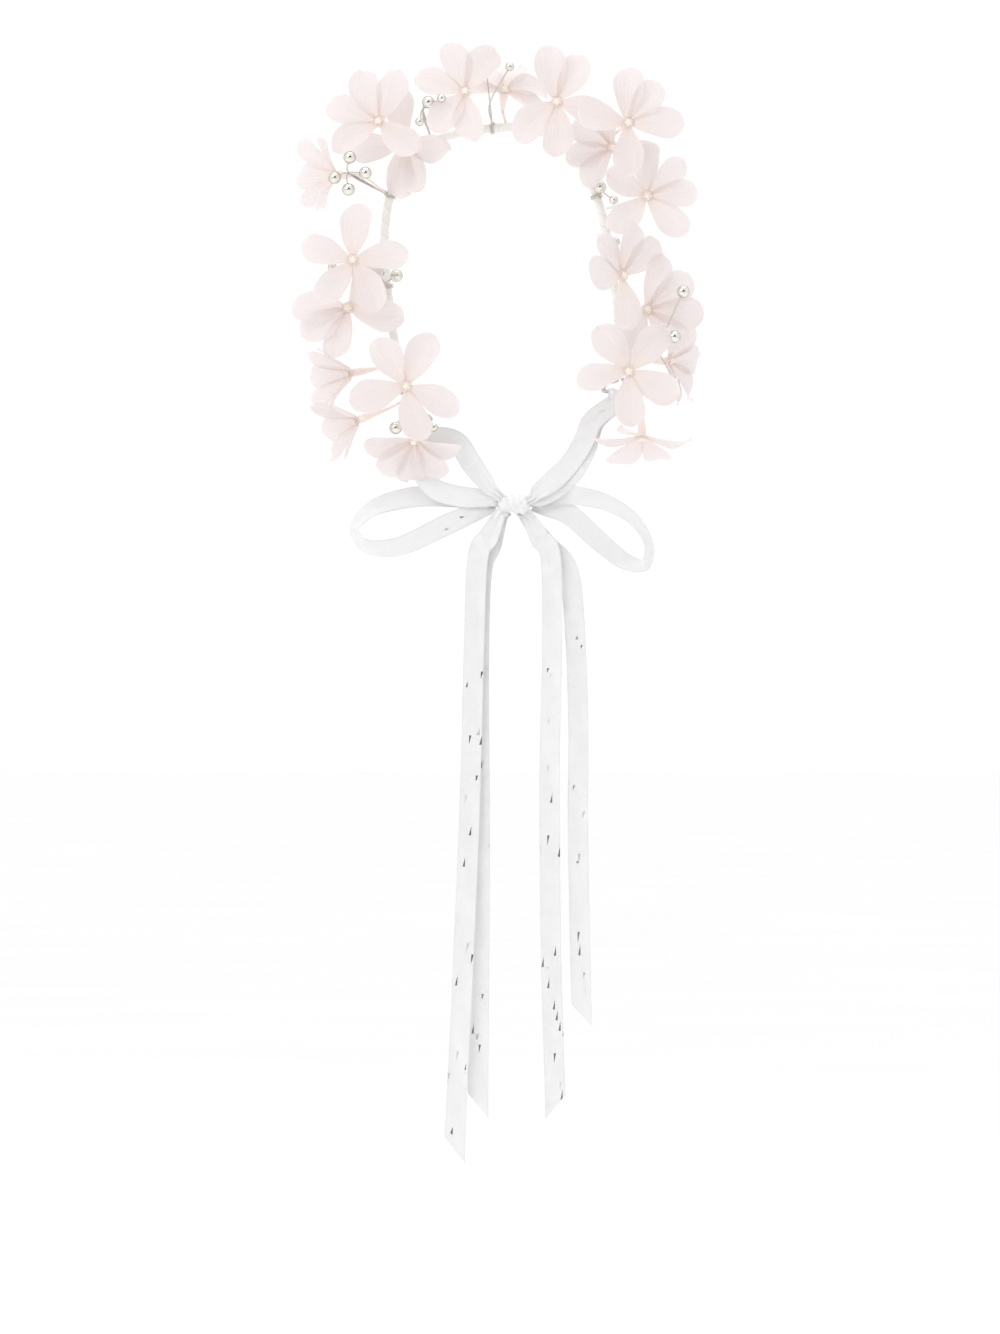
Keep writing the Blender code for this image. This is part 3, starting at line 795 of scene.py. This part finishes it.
def blossom_plastic(settings):
    """Cream stamens and a peach calyx that pales towards the stalk."""
    material, tree, shader = new_material("blossom_plastic")
    _, split = piece_map(tree)
    along = add_ramp(
        tree,
        add_math(tree, "MULTIPLY", split["Y"], 22.0),
        (
            (0.0, (0.91, 0.86, 0.74)),
            (0.09, (0.92, 0.87, 0.80)),
            (0.14, settings.stalk),
            (0.45, scaled(settings.stalk, 1.03)),
            (0.62, settings.tape),
        ),
    )
    clouds = add_clouds(tree, object_place(tree), 900.0, (1.0, 1.0, 1.0), (0.93, 0.92, 0.89))
    colour = mix_colours(tree, 1.0, along, clouds["Colour"], "MULTIPLY")
    roughness = add_math(tree, "MULTIPLY_ADD", clouds["Cloud"], 0.3, 0.35)
    connect(tree, shader, colour, roughness, add_bump(tree, clouds["Cloud"], 0.35, 0.0002))
    set_shader(shader, Specular_IOR_Level=0.4, Subsurface_Weight=0.1, Subsurface_Scale=0.002)
    return material


def crepe_tape(settings):
    """Stretchy paper tape: fine crepe wrinkles, a painted shadow line under each lap and a painted
    highlight along each lap's raised edge.
    """
    material, tree, shader = new_material("crepe_tape")
    mapped, split = piece_map(tree)
    laps = add_math(tree, "MULTIPLY", split["Y"], 1 / TAPE_PITCH)
    lap = add_math(tree, "FRACT", add_math(tree, "ADD", laps, split["X"]))
    crepe = add_noise(tree, stretched_map(tree, mapped, (14.0, 2600.0), 0.35), 1.0, 3.0)
    # Painted shade and light across each lap: a dark shadow line where the lap tucks under the
    # next, and a lighter highlight at its raised edge.
    edge = add_ramp(
        tree,
        lap,
        (
            (0.0, scaled(settings.tape, 0.72)),
            (0.07, scaled(settings.tape, 0.97)),
            (0.9, settings.tape),
            (1.0, scaled(settings.tape, 1.07)),
        ),
    )
    clouds = add_clouds(tree, object_place(tree), 120.0, (1.0, 1.0, 1.0), (0.94, 0.94, 0.92))
    colour = mix_colours(tree, 1.0, edge, clouds["Colour"], "MULTIPLY")
    roughness = add_math(tree, "MULTIPLY_ADD", crepe, 0.3, 0.45)
    connect(tree, shader, colour, roughness, add_bump(tree, crepe, 0.5, 0.00012))
    set_shader(shader, Specular_IOR_Level=0.35, Sheen_Weight=0.1)
    return material


def drawn_wire(name, tint, roughness, metal=1.0):
    """Drawn metal wire, streaked along its length."""
    material, tree, shader = new_material(name)
    mapped, _ = piece_map(tree)
    streaks = stretched_map(tree, mapped, (22.0, 60.0))
    clouds = add_clouds(tree, streaks, 1.0, tint, scaled(tint, 0.62))
    rough = add_math(tree, "MULTIPLY_ADD", clouds["Cloud"], 0.25, roughness)
    connect(tree, shader, clouds["Colour"], rough, add_bump(tree, clouds["Cloud"], 0.2, 0.00005))
    set_shader(shader, Metallic=metal)
    return material


def silver_pearl(settings):
    """Plated beads with a nacre-like clear coat."""
    material, tree, shader = new_material("silver_pearl")
    pearl = settings.colour
    clouds = add_clouds(tree, object_place(tree), 420.0, pearl, scaled(pearl, 0.86))
    roughness = add_math(tree, "MULTIPLY_ADD", clouds["Cloud"], 0.1, 0.07)
    connect(tree, shader, clouds["Colour"], roughness)
    set_shader(shader, Metallic=0.95, Coat_Weight=0.35, Coat_Roughness=0.06)
    set_shader(shader, Specular_Tint=(0.30, 0.29, 0.26, 1))
    return material


def satin(settings):
    """White satin: glossy warp floats, a corded selvedge at each edge, and faint creases."""
    material, tree, shader = new_material("satin")
    mapped, split = piece_map(tree)
    weave = add_weave(tree, mapped, 7000.0, 3200.0, 0.35)
    across = add_math(tree, "DIVIDE", split["X"], settings.width)
    middle = add_math(tree, "ABSOLUTE", add_math(tree, "SUBTRACT", across, 0.5))
    selvedge = add_range(tree, middle, 0.44, 0.485)
    white = settings.colour
    clouds = add_clouds(tree, mapped, 90.0, scaled(white, 1.02), scaled(white, 0.965))
    edged = mix_colours(tree, selvedge, clouds["Colour"], scaled(white, 0.93))
    shade = add_grey(tree, weave["Shade"])
    colour = mix_colours(tree, 0.6, edged, shade, "MULTIPLY")
    roughness = add_math(tree, "MULTIPLY_ADD", clouds["Cloud"], 0.18, 0.28)
    creases = add_noise(tree, stretched_map(tree, mapped, (45.0, 110.0)), 1.0, 2.0)
    fine = add_bump(tree, weave["Height"], 0.12, 0.00005)
    cord = add_bump(tree, selvedge, 0.4, 0.0002, fine)
    connect(tree, shader, colour, roughness, add_bump(tree, creases, 0.35, 0.0006, cord))
    set_shader(shader, Specular_IOR_Level=0.55, Sheen_Weight=0.2, Sheen_Roughness=0.3)
    let_light_through(tree, shader, colour, 0.06)
    return material


def matte_paper():
    """The pale floor: matte, with a hardly visible tooth."""
    material, tree, shader = new_material("matte_paper")
    light, deep = (0.985, 0.985, 0.985), (0.97, 0.97, 0.97)
    clouds = add_clouds(tree, object_place(tree), 3.0, light, deep)
    connect(tree, shader, clouds["Colour"])
    set_shader(shader, Roughness=1.0, Specular_IOR_Level=0.0)
    return material


# The band


def eye_path(end, down, side, width):
    """The wire's end past end: a flat loop with a bar across it, which the ribbon hangs over."""
    across = Vector((down.z, 0, -down.x)) * side
    half = width / 2 + WIRE_RADIUS + 2 * CLEARANCE
    corners = (
        (0.0, EYE_NECK),
        (-half * 0.7, EYE_NECK + EYE_DROP * 0.25),
        (-half, EYE_NECK + EYE_DROP * 0.8),
        (-half * 0.8, EYE_NECK + EYE_DROP),
        (half * 0.8, EYE_NECK + EYE_DROP),
        (half, EYE_NECK + EYE_DROP * 0.8),
        (half * 0.7, EYE_NECK + EYE_DROP * 0.25),
        (2 * WIRE_RADIUS + 2 * CLEARANCE, EYE_NECK * 0.6),
    )
    return catmull_rom([end + across * x + down * y for x, y in corners], 5)


def band_end(start):
    """One end of the band and the wire's direction there."""
    path = band_path(38)
    end, inner = (path[0], path[1]) if start else (path[-1], path[-2])
    return end, (end - inner).normalized()


class CROWN_OT_band(bpy.types.Operator):
    """Makes the bent wire with an eye at each end, and the tape wound over it"""

    bl_idname = "crown.make_band"
    bl_label = "Band"

    def execute(self, context):
        settings = context.scene.crown_band
        width = context.scene.crown_ribbon.width
        path = band_path(160)
        left_end, left_down = band_end(True)
        right_end, right_down = band_end(False)
        left = eye_path(left_end, left_down, 1, width)
        right = eye_path(right_end, right_down, -1, width)
        core = bmesh.new()
        whole = [*reversed(left), *path, *right]
        round_tube(core, whole, [WIRE_RADIUS] * len(whole), 12, first=FRONT)
        wire = finish_piece(
            "band_wire",
            core,
            [drawn_wire("steel_wire", (0.72, 0.71, 0.69), 0.28)],
            "crown",
            ["wire_core"],
        )

        fine = band_path(430)
        lengths = lengths_along(fine)

        def lap(turn, travelled):
            share = (travelled / TAPE_PITCH + turn / (2 * math.pi)) % 1.0
            taper = smooth_step(min(travelled, lengths[-1] - travelled), 0, 0.004)
            return TAPE_LAP_STEP * (share - 0.5) - (1 - taper) * 0.45 * TAPE_WALL

        wound = bmesh.new()
        round_tube(wound, fine, [TAPE_RADIUS] * len(fine), 20, rib=lap, first=FRONT)
        tape = finish_piece("band_tape", wound, [crepe_tape(settings)], "crown", ["stem_tape"])
        return {"FINISHED"}


# The blossoms


def petal_half_width(share, width):
    """A petal's half width along it: narrow at the root, widest past the middle, then round."""
    swelling = math.sin(math.pi / 2 * min(share / WIDEST_AT, 1))
    widening = ROOT_SHARE + (1 - ROOT_SHARE) * swelling
    rounding = math.sqrt(max(1 - max((share - WIDEST_AT) / (1 - WIDEST_AT), 0) ** 2, 0))
    return width / 2 * widening * rounding


def facing(right, up):
    """The rotation that turns +Z to the front, then right and up by these angles, keeping +Y up."""
    right, up = math.radians(right), math.radians(up)
    normal = Vector((math.sin(right) * math.cos(up), -math.cos(right) * math.cos(up), math.sin(up)))
    across = Vector((math.cos(right), math.sin(right), 0))
    return Matrix((across, normal.cross(across), normal)).transposed()


def lay_petals(bm, flower, number, settings):
    """Petals cut from one piece of cloth, around a hole for the stem, facing +Z."""
    size, closing, directions = flower[5:]
    chance = random.Random(number)
    ripple = random.Random(1000 + number)
    full = settings.length

    def eye(across, along):
        turn = 2 * math.pi * across
        radius = COROLLA_HOLE + (COROLLA_EYE * 1.12 - COROLLA_HOLE) * along
        return Vector((math.cos(turn), math.sin(turn), 0)) * radius

    laid_grid(bm, 30, 2, eye, uv_size=(0.0, 0.05), uv_shift=0.5)
    for index, direction in enumerate(sorted(direction % 360 for direction in directions)):
        length = full * size * chance.uniform(0.94, 1.04)
        stagger = PETAL_STAGGER if index % 2 else -PETAL_STAGGER
        lean = math.radians(closing + stagger + chance.uniform(-1, 1))
        sway = math.radians(ripple.uniform(-8, 8))
        crimp = ripple.uniform(0.2, 1.1) * MM
        cup = ripple.uniform(-0.9, 1.8) * MM
        phase = ripple.uniform(0, 2 * math.pi)
        turned = ripple.uniform(-2.4, 2.4) * MM
        fold = ripple.uniform(-0.45, 0.45)
        pinch = ripple.uniform(0.0, 1.3) * MM
        plump = ripple.uniform(0.90, 1.06)
        base_turn = math.radians(direction)

        def place(across, along):
            side = 2 * across - 1
            share = 1 - (1 - along) ** 1.5
            reach = share * (length - COROLLA_EYE) - 0.15 * COROLLA_EYE * (1 - share)
            swell = math.sin(math.pi * min(share, 1))
            lift = (PETAL_DISH + cup) * side**2 * swell
            lift -= PETAL_CURL * share**3
            lift -= 0.5 * MM * math.exp(-((side / 0.16) ** 2)) * swell
            lift += 0.05 * MM * math.cos(side * 3.5 * math.pi) * swell
            lift += crimp * side**2 * math.sin(phase + share * 6.5) * share
            lift += turned * side * share
            lift += pinch * math.sqrt((side - fold) ** 2 + 0.03) * swell
            flat = COROLLA_EYE + reach * math.cos(lean)
            outline = plump * (1 + 0.035 * math.sin(phase * 2 + share * 11 + side))
            wide = side * petal_half_width(share, settings.width) * length / full * outline
            turn = base_turn + sway * share**2
            return Vector(
                (
                    flat * math.cos(turn) - wide * math.sin(turn),
                    flat * math.sin(turn) + wide * math.cos(turn),
                    reach * math.sin(lean) + lift * math.cos(lean),
                )
            )

        verts = laid_grid(bm, 12, 20, place, uv_shift=float(index))
        bmesh.ops.remove_doubles(bm, verts=verts, dist=1e-6)


def stalk_path(flower, turn, centre):
    """The stem's line from its pip through the petals to the band, and its radii."""
    front = PETAL_THICKNESS / 2 + CLEARANCE
    back = -front
    neck = COROLLA_HOLE - 1.5 * CLEARANCE
    profile = (
        (PIP_HEIGHT, 0.25 * PIP_RADIUS),
        (0.93 * PIP_HEIGHT, 0.55 * PIP_RADIUS),
        (0.75 * PIP_HEIGHT, 0.85 * PIP_RADIUS),
        (0.5 * PIP_HEIGHT, PIP_RADIUS),
        (front + 0.3 * MM, 0.95 * PIP_RADIUS),
        (front, neck),
        (back, neck),
        (back - 0.3 * MM, 0.85 * CALYX_RADIUS),
        (back - 0.12 * CALYX_LENGTH, 0.97 * CALYX_RADIUS),
        (back - 0.25 * CALYX_LENGTH, CALYX_RADIUS),
        (back - 0.5 * CALYX_LENGTH, 0.82 * CALYX_RADIUS),
        (back - 0.75 * CALYX_LENGTH, 0.62 * CALYX_RADIUS),
        (back - CALYX_LENGTH, 1.6 * STEM_RADIUS),
    )
    path = [centre + turn @ Vector((0, 0, height)) for height, _ in profile]
    radii = [radius for _, radius in profile]
    root_angle = min(max(flower[0], BAND_START + TIP_MARGIN), BAND_END - TIP_MARGIN)
    root = band_point(root_angle)
    along = band_tangent(root_angle)
    away = path[-1] - root
    away = (away - along * away.dot(along)).normalized()
    end = root + away * (TAPE_RADIUS + CLEARANCE + STEM_RADIUS)
    start = path[-1]
    reach = (end - start).length
    bow = [start, start - turn @ Vector((0, 0, 0.4 * reach)), end + away * 0.4 * reach, end]
    steps = 18
    for step in range(1, steps + 1):
        t = step / steps
        shares = ((1 - t) ** 3, 3 * t * (1 - t) ** 2, 3 * t * t * (1 - t), t**3)
        path.append(sum((point * share for point, share in zip(bow, shares)), Vector()))
        radii.append(STEM_RADIUS * (1 + 0.6 * (1 - t) ** 4))
    return path, radii


class CROWN_OT_blossoms(bpy.types.Operator):
    """Makes each blossom's cloth petals and the stem that holds them to the band"""

    bl_idname = "crown.make_blossoms"
    bl_label = "Blossoms"

    def execute(self, context):
        settings = context.scene.crown_petals
        cloth = petal_cloth(settings)
        plastic = blossom_plastic(context.scene.crown_band)
        for number, flower in enumerate(FLOWERS, 1):
            angle, outside, in_front, right, up = flower[:5]
            turn = facing(right, up)
            centre = beside_band(angle, outside, in_front)
            place = Matrix.Translation(centre) @ turn.to_4x4()
            petals = bmesh.new()
            lay_petals(petals, flower, number, settings)
            bmesh.ops.transform(petals, matrix=place, verts=petals.verts)
            area = sum(face.calc_area() for face in petals.faces)
            piece = finish_piece(
                f"blossom_{number:02d}_petals",
                petals,
                [cloth],
                "crown",
                [f"flower_{number:02d}_petals"],
                closed=False,
            )

            path, radii = stalk_path(flower, turn, centre)
            stalk = bmesh.new()
            bumps = random.Random(number).uniform(0, 2 * math.pi)

            def stamens(around, travelled):
                if travelled > 0.9 * PIP_HEIGHT:
                    return 0.0
                return 0.22 * PIP_RADIUS * math.cos(5 * around + bumps)

            round_tube(stalk, path, radii, 20, rib=stamens)
            stalk_piece = finish_piece(
                f"blossom_{number:02d}_stalk",
                stalk,
                [plastic],
                "crown",
                [f"flower_{number:02d}_stem"],
            )
        return {"FINISHED"}


# The pearl sprigs


def twisted_wire(bm, path):
    """Two fine wires twisted together along path."""
    spokes = spokes_along(path)
    tangents = tangents_of(path)
    lengths = lengths_along(path)
    for half_turn in (0, math.pi):
        strand = []
        for point, tangent, spoke, travelled in zip(path, tangents, spokes, lengths):
            turn = half_turn + 2 * math.pi * travelled / TWIST_PITCH
            offset = Quaternion(tangent, turn) @ spoke
            strand.append(point + offset * (SPRIG_WIRE_RADIUS - STRAND_RADIUS) * 1.1)
        round_tube(bm, strand, [STRAND_RADIUS] * len(strand), 6)


def finer(path, spacing):
    """The same path with points about this far apart."""
    points = []
    for before, after in zip(path, path[1:]):
        steps = max(round((after - before).length / spacing), 1)
        points += [before.lerp(after, step / steps) for step in range(steps)]
    return [*points, path[-1]]


class CROWN_OT_sprigs(bpy.types.Operator):
    """Makes the sprigs: pearl beads on twisted wires wound round the band"""

    bl_idname = "crown.make_sprigs"
    bl_label = "Pearl sprigs"

    def execute(self, context):
        settings = context.scene.crown_beads
        wire = drawn_wire("twisted_wire", (0.78, 0.74, 0.67), 0.42, metal=0.3)
        pearl = silver_pearl(settings)
        for number, (angle, fork, beads) in enumerate(SPRIGS, 1):
            root = band_point(angle)
            along = band_tangent(angle)
            outward = band_outward(angle)
            winding = TAPE_RADIUS + CLEARANCE + SPRIG_WIRE_RADIUS
            away = beside_band(*fork) - root
            away = (away - along * away.dot(along)).normalized()
            bm = bmesh.new()
            coil = []
            first_turn = math.atan2(away.dot(along.cross(outward)), away.dot(outward))
            for step in range(WINDING_STEPS + 1):
                share = step / WINDING_STEPS
                turn = first_turn + 2 * math.pi * WINDING_TURNS * share
                spoke = outward * math.cos(turn) + along.cross(outward) * math.sin(turn)
                coil.append(root + spoke * winding + along * (share - 0.5) * WINDING_LENGTH)
            round_tube(bm, coil, [SPRIG_WIRE_RADIUS] * len(coil), 8)
            start = root + away * winding
            for bead in beads:
                branch = catmull_rom([start, beside_band(*fork), beside_band(*bead[:3])], 10)
                twisted_wire(bm, finer(branch, TWIST_PITCH / 8))
            wires = len(bm.faces)
            for bead in beads:
                bmesh.ops.create_uvsphere(
                    bm,
                    u_segments=28,
                    v_segments=18,
                    radius=settings.radius if bead[3] else settings.small_radius,
                    matrix=Matrix.Translation(beside_band(*bead[:3])),
                )
            bm.faces.ensure_lookup_table()
            for face in bm.faces[wires:]:
                face.material_index = 1
            piece = finish_piece(
                f"pearl_sprig_{number}", bm, [wire, pearl], "crown", [f"bead_sprig_{number}"]
            )
        return {"FINISHED"}


# The bow


def strand_route(front, back, start_end):
    """A ribbon from the knot over an eye's bar and back again, in mm from the knot."""
    end, down = band_end(start_end)
    middle = (end + down * (EYE_NECK + EYE_DROP) - KNOT_CENTRE) / MM
    stand_off = (WIRE_RADIUS + CLEARANCE + RIBBON_THICKNESS) / MM
    side = -1 if start_end else 1
    entry = side * KNOT_ENTRY / MM
    lift = -down * stand_off
    return (
        (0.35 * entry, front[0][1] * 0.5, 0.5, 0, 0.35),
        (entry, front[0][1], front[0][2] - 3.0, 0, 0.5),
        *front,
        (middle.x + 5 * down.x, -stand_off, middle.z + 5 * down.z, 0, 0.9),
        (middle.x + down.x, -stand_off, middle.z + down.z, 0, EYE_SHARE),
        (middle.x + lift.x, 0, middle.z + lift.z, 0, EYE_SHARE),
        (middle.x + down.x, stand_off, middle.z + down.z, 0, EYE_SHARE),
        (middle.x + 5 * down.x, stand_off, middle.z + 5 * down.z, 0, 0.9),
        *reversed(back),
        (entry, back[0][1], back[0][2] - 1.5, 0, 0.5),
        (0.35 * entry, 0, 0.5, 0, 0.35),
    )


def wrap_knot(bm, width):
    """The ribbon wrapped round the bow's middle: a soft roll with folds drawn in across it."""
    length = 2 * math.pi * KNOT_RADIUS * 1.45

    def place(across, along):
        side = 2 * across - 1
        turn = 2 * math.pi * along
        bulge = 0.93 - 0.10 * math.exp(-(((side + 0.15) / 0.4) ** 2))
        bulge -= 0.42 * smooth_step(abs(side), 0.55, 1.0) ** 1.5
        slant = 0.42 * math.sin(turn + 0.5) + 0.10 * math.sin(2 * turn)
        pleat = math.cos(2 * math.pi * (2.3 * side + slant))
        crease = math.exp(-(((side - 0.25 - slant) / 0.13) ** 2))
        radius = KNOT_RADIUS * bulge + (0.34 * pleat - 0.60 * crease) * MM * (1 - 0.5 * side**4)
        x = KNOT_HALF_LENGTH * side + 0.8 * MM * slant * (1 - side**2)
        return Vector((x, -radius * math.cos(turn) * 0.96, radius * math.sin(turn))) + KNOT_CENTRE

    verts = laid_grid(bm, 36, 96, place, uv_size=(width, length))
    bmesh.ops.remove_doubles(bm, verts=verts, dist=1e-6)


class CROWN_OT_bow(bpy.types.Operator):
    """Makes the bow: its knot, its two loops and the ribbons that tie it to the band's eyes"""

    bl_idname = "crown.make_bow"
    bl_label = "Bow"

    def execute(self, context):
        settings = context.scene.crown_ribbon
        width = settings.width
        cloth = bpy.data.materials.get("satin") or satin(settings)
        bm = bmesh.new()
        wrap_knot(bm, width)
        area = sum(face.calc_area() for face in bm.faces)
        knot = finish_piece("knot_wrap", bm, [cloth], "crown", ["bow_knot"])

        left = strand_route(LEFT_FRONT_STRAND, LEFT_BACK_STRAND, True)
        right = strand_route(RIGHT_FRONT_STRAND, RIGHT_BACK_STRAND, False)
        for name, route, node, held, rests_on in (
            ("strand_left", left, "ribbon_left", "folded", ["band_wire"]),
            ("strand_right", right, "ribbon_right", "folded", ["band_wire"]),
            ("loop_left", LEFT_LOOP, "bow_loop_left", "folded", ["knot_wrap"]),
            ("loop_right", RIGHT_LOOP, "bow_loop_right", "folded", ["knot_wrap"]),
        ):
            add_ribbon(name, route, 8, cloth, "crown", [node], held, rests_on, seed=len(name))
        return {"FINISHED"}


class CROWN_OT_tails(bpy.types.Operator):
    """Makes the four ribbon tails, each bending where it starts to hang"""

    bl_idname = "crown.make_tails"
    bl_label = "Ribbon tails"

    def execute(self, context):
        settings = context.scene.crown_ribbon
        cloth = bpy.data.materials.get("satin") or satin(settings)
        for number, (leave, pivot, depth, points, slant, rolled) in enumerate(TAILS, 1):
            middle = ((leave[0] + pivot[0]) / 2, (leave[1] + pivot[1]) / 2)
            route = [
                (leave[0] * 0.5, depth * 0.3, -3.0, 0, 0.5),
                (leave[0], depth * 0.6, leave[1], 0, 0.6),
                (middle[0], depth * 0.95, middle[1], 0, 0.95),
                (pivot[0], depth, pivot[1], 0, 1),
            ]
            for step, (x, z) in enumerate(points):
                roll = rolled * math.sin(math.pi * (step + 1) / 2.6)
                route.append((x, depth, z, roll, 1))
            piece = add_ribbon(
                f"tail_{number}",
                route,
                16,
                cloth,
                None,
                [f"ribbon_tail_{number}"],
                "hung",
                ["knot_wrap"],
                slant=slant,
                seed=50 + number,
            )
            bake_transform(piece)
        return {"FINISHED"}


# The stage


def add_area_light(name, place, target, size, power):
    """A round soft light aimed at target, unseen by the camera."""
    light = bpy.data.lights.new(name, "AREA")
    light.shape = "DISK"
    light.size = size
    light.energy = power
    obj = bpy.data.objects.new(name, light)
    bpy.context.scene.collection.objects.link(obj)
    obj.location = place
    obj.rotation_euler = (target - place).to_track_quat("-Z", "Y").to_euler()
    obj.visible_camera = False


def light_the_room():
    """A white room with a dark patch behind the viewer, larger where shiny pieces mirror it."""
    world = bpy.data.worlds.new("white_room")
    bpy.context.scene.world = world
    world.use_nodes = True
    tree = world.node_tree
    direction = add_node(tree, "ShaderNodeTexCoord").outputs["Generated"]
    split = add_node(tree, "ShaderNodeSeparateXYZ", {"Vector": direction}).outputs
    ends = []
    for darkest, lightest in ((-0.975, -0.93), (-0.90, -0.80)):
        room = add_node(
            tree,
            "ShaderNodeMapRange",
            {"Value": split["Y"], "From Min": darkest, "From Max": lightest, "To Min": 0.04},
            interpolation_type="SMOOTHSTEP",
        )
        ends.append(room.outputs["Result"])
    mirrored = tree.nodes.new("ShaderNodeLightPath").outputs["Is Glossy Ray"]
    room = mix_colours(tree, mirrored, *ends)
    tree.links.new(room, tree.nodes["Background"].inputs["Color"])
    tree.nodes["Background"].inputs["Strength"].default_value = ROOM_STRENGTH


class CROWN_OT_stage(bpy.types.Operator):
    """Sets the pale floor, the soft light and the camera"""

    bl_idname = "crown.make_stage"
    bl_label = "Stage"

    def execute(self, context):
        scene = context.scene
        low = Vector(CAD_BOX[0])
        bm = bmesh.new()
        bmesh.ops.create_grid(bm, x_segments=8, y_segments=8, size=FLOOR_HALF)
        bmesh.ops.translate(bm, verts=bm.verts, vec=(0, 0, low.z - FLOOR_DROP))
        mesh = bpy.data.meshes.new("floor")
        bm.to_mesh(mesh)
        bm.free()
        mesh.materials.append(matte_paper())
        floor = bpy.data.objects.new("floor", mesh)
        scene.collection.objects.link(floor)

        light_the_room()
        for name, place, size, power in LIGHTS:
            add_area_light(name, VIEW_CENTRE + Vector(place), VIEW_CENTRE, size, power)

        data = bpy.data.cameras.new("camera")
        data.sensor_width = SENSOR
        data.lens = SENSOR * VIEW_DISTANCE / VIEW_HEIGHT
        data.clip_end = 100.0
        camera = bpy.data.objects.new("camera", data)
        scene.collection.objects.link(camera)
        camera.location = VIEW_CENTRE + FRONT * VIEW_DISTANCE
        camera.rotation_euler = (math.pi / 2, 0, 0)
        scene.camera = camera
        scene.view_settings.view_transform = "Standard"
        return {"FINISHED"}


class CROWN_PT_panel(bpy.types.Panel):
    """Lists the crown's sizes, colours and pieces"""

    bl_idname = "CROWN_PT_panel"
    bl_label = "Flower Crown"
    bl_space_type = "VIEW_3D"
    bl_region_type = "UI"
    bl_category = "Crown"

    def draw(self, context):
        layout = self.layout
        for owner, names in (
            (context.scene.crown_petals, ("length", "width", "blush", "painted_heart_glow")),
            (context.scene.crown_beads, ("radius", "small_radius", "colour")),
            (context.scene.crown_ribbon, ("width", "colour")),
            (context.scene.crown_band, ("tape", "stalk")),
        ):
            box = layout.box()
            for name in names:
                box.prop(owner, name)
        for operator in OPERATORS:
            layout.operator(operator.bl_idname)


OPERATORS = (
    CROWN_OT_band,
    CROWN_OT_blossoms,
    CROWN_OT_sprigs,
    CROWN_OT_bow,
    CROWN_OT_tails,
    CROWN_OT_stage,
)
CLASSES = (PetalSettings, BeadSettings, RibbonSettings, BandSettings, *OPERATORS, CROWN_PT_panel)


def register():
    for item in CLASSES:
        bpy.utils.register_class(item)
    bpy.types.Scene.crown_petals = PointerProperty(type=PetalSettings)
    bpy.types.Scene.crown_beads = PointerProperty(type=BeadSettings)
    bpy.types.Scene.crown_ribbon = PointerProperty(type=RibbonSettings)
    bpy.types.Scene.crown_band = PointerProperty(type=BandSettings)


def unregister():
    for name in ("crown_petals", "crown_beads", "crown_ribbon", "crown_band"):
        delattr(bpy.types.Scene, name)
    for item in reversed(CLASSES):
        bpy.utils.unregister_class(item)


def main():
    register()
    bpy.ops.crown.make_band()
    bpy.ops.crown.make_blossoms()
    bpy.ops.crown.make_sprigs()
    bpy.ops.crown.make_bow()
    bpy.ops.crown.make_tails()
    bpy.ops.crown.make_stage()


if __name__ == "__main__":
    main()
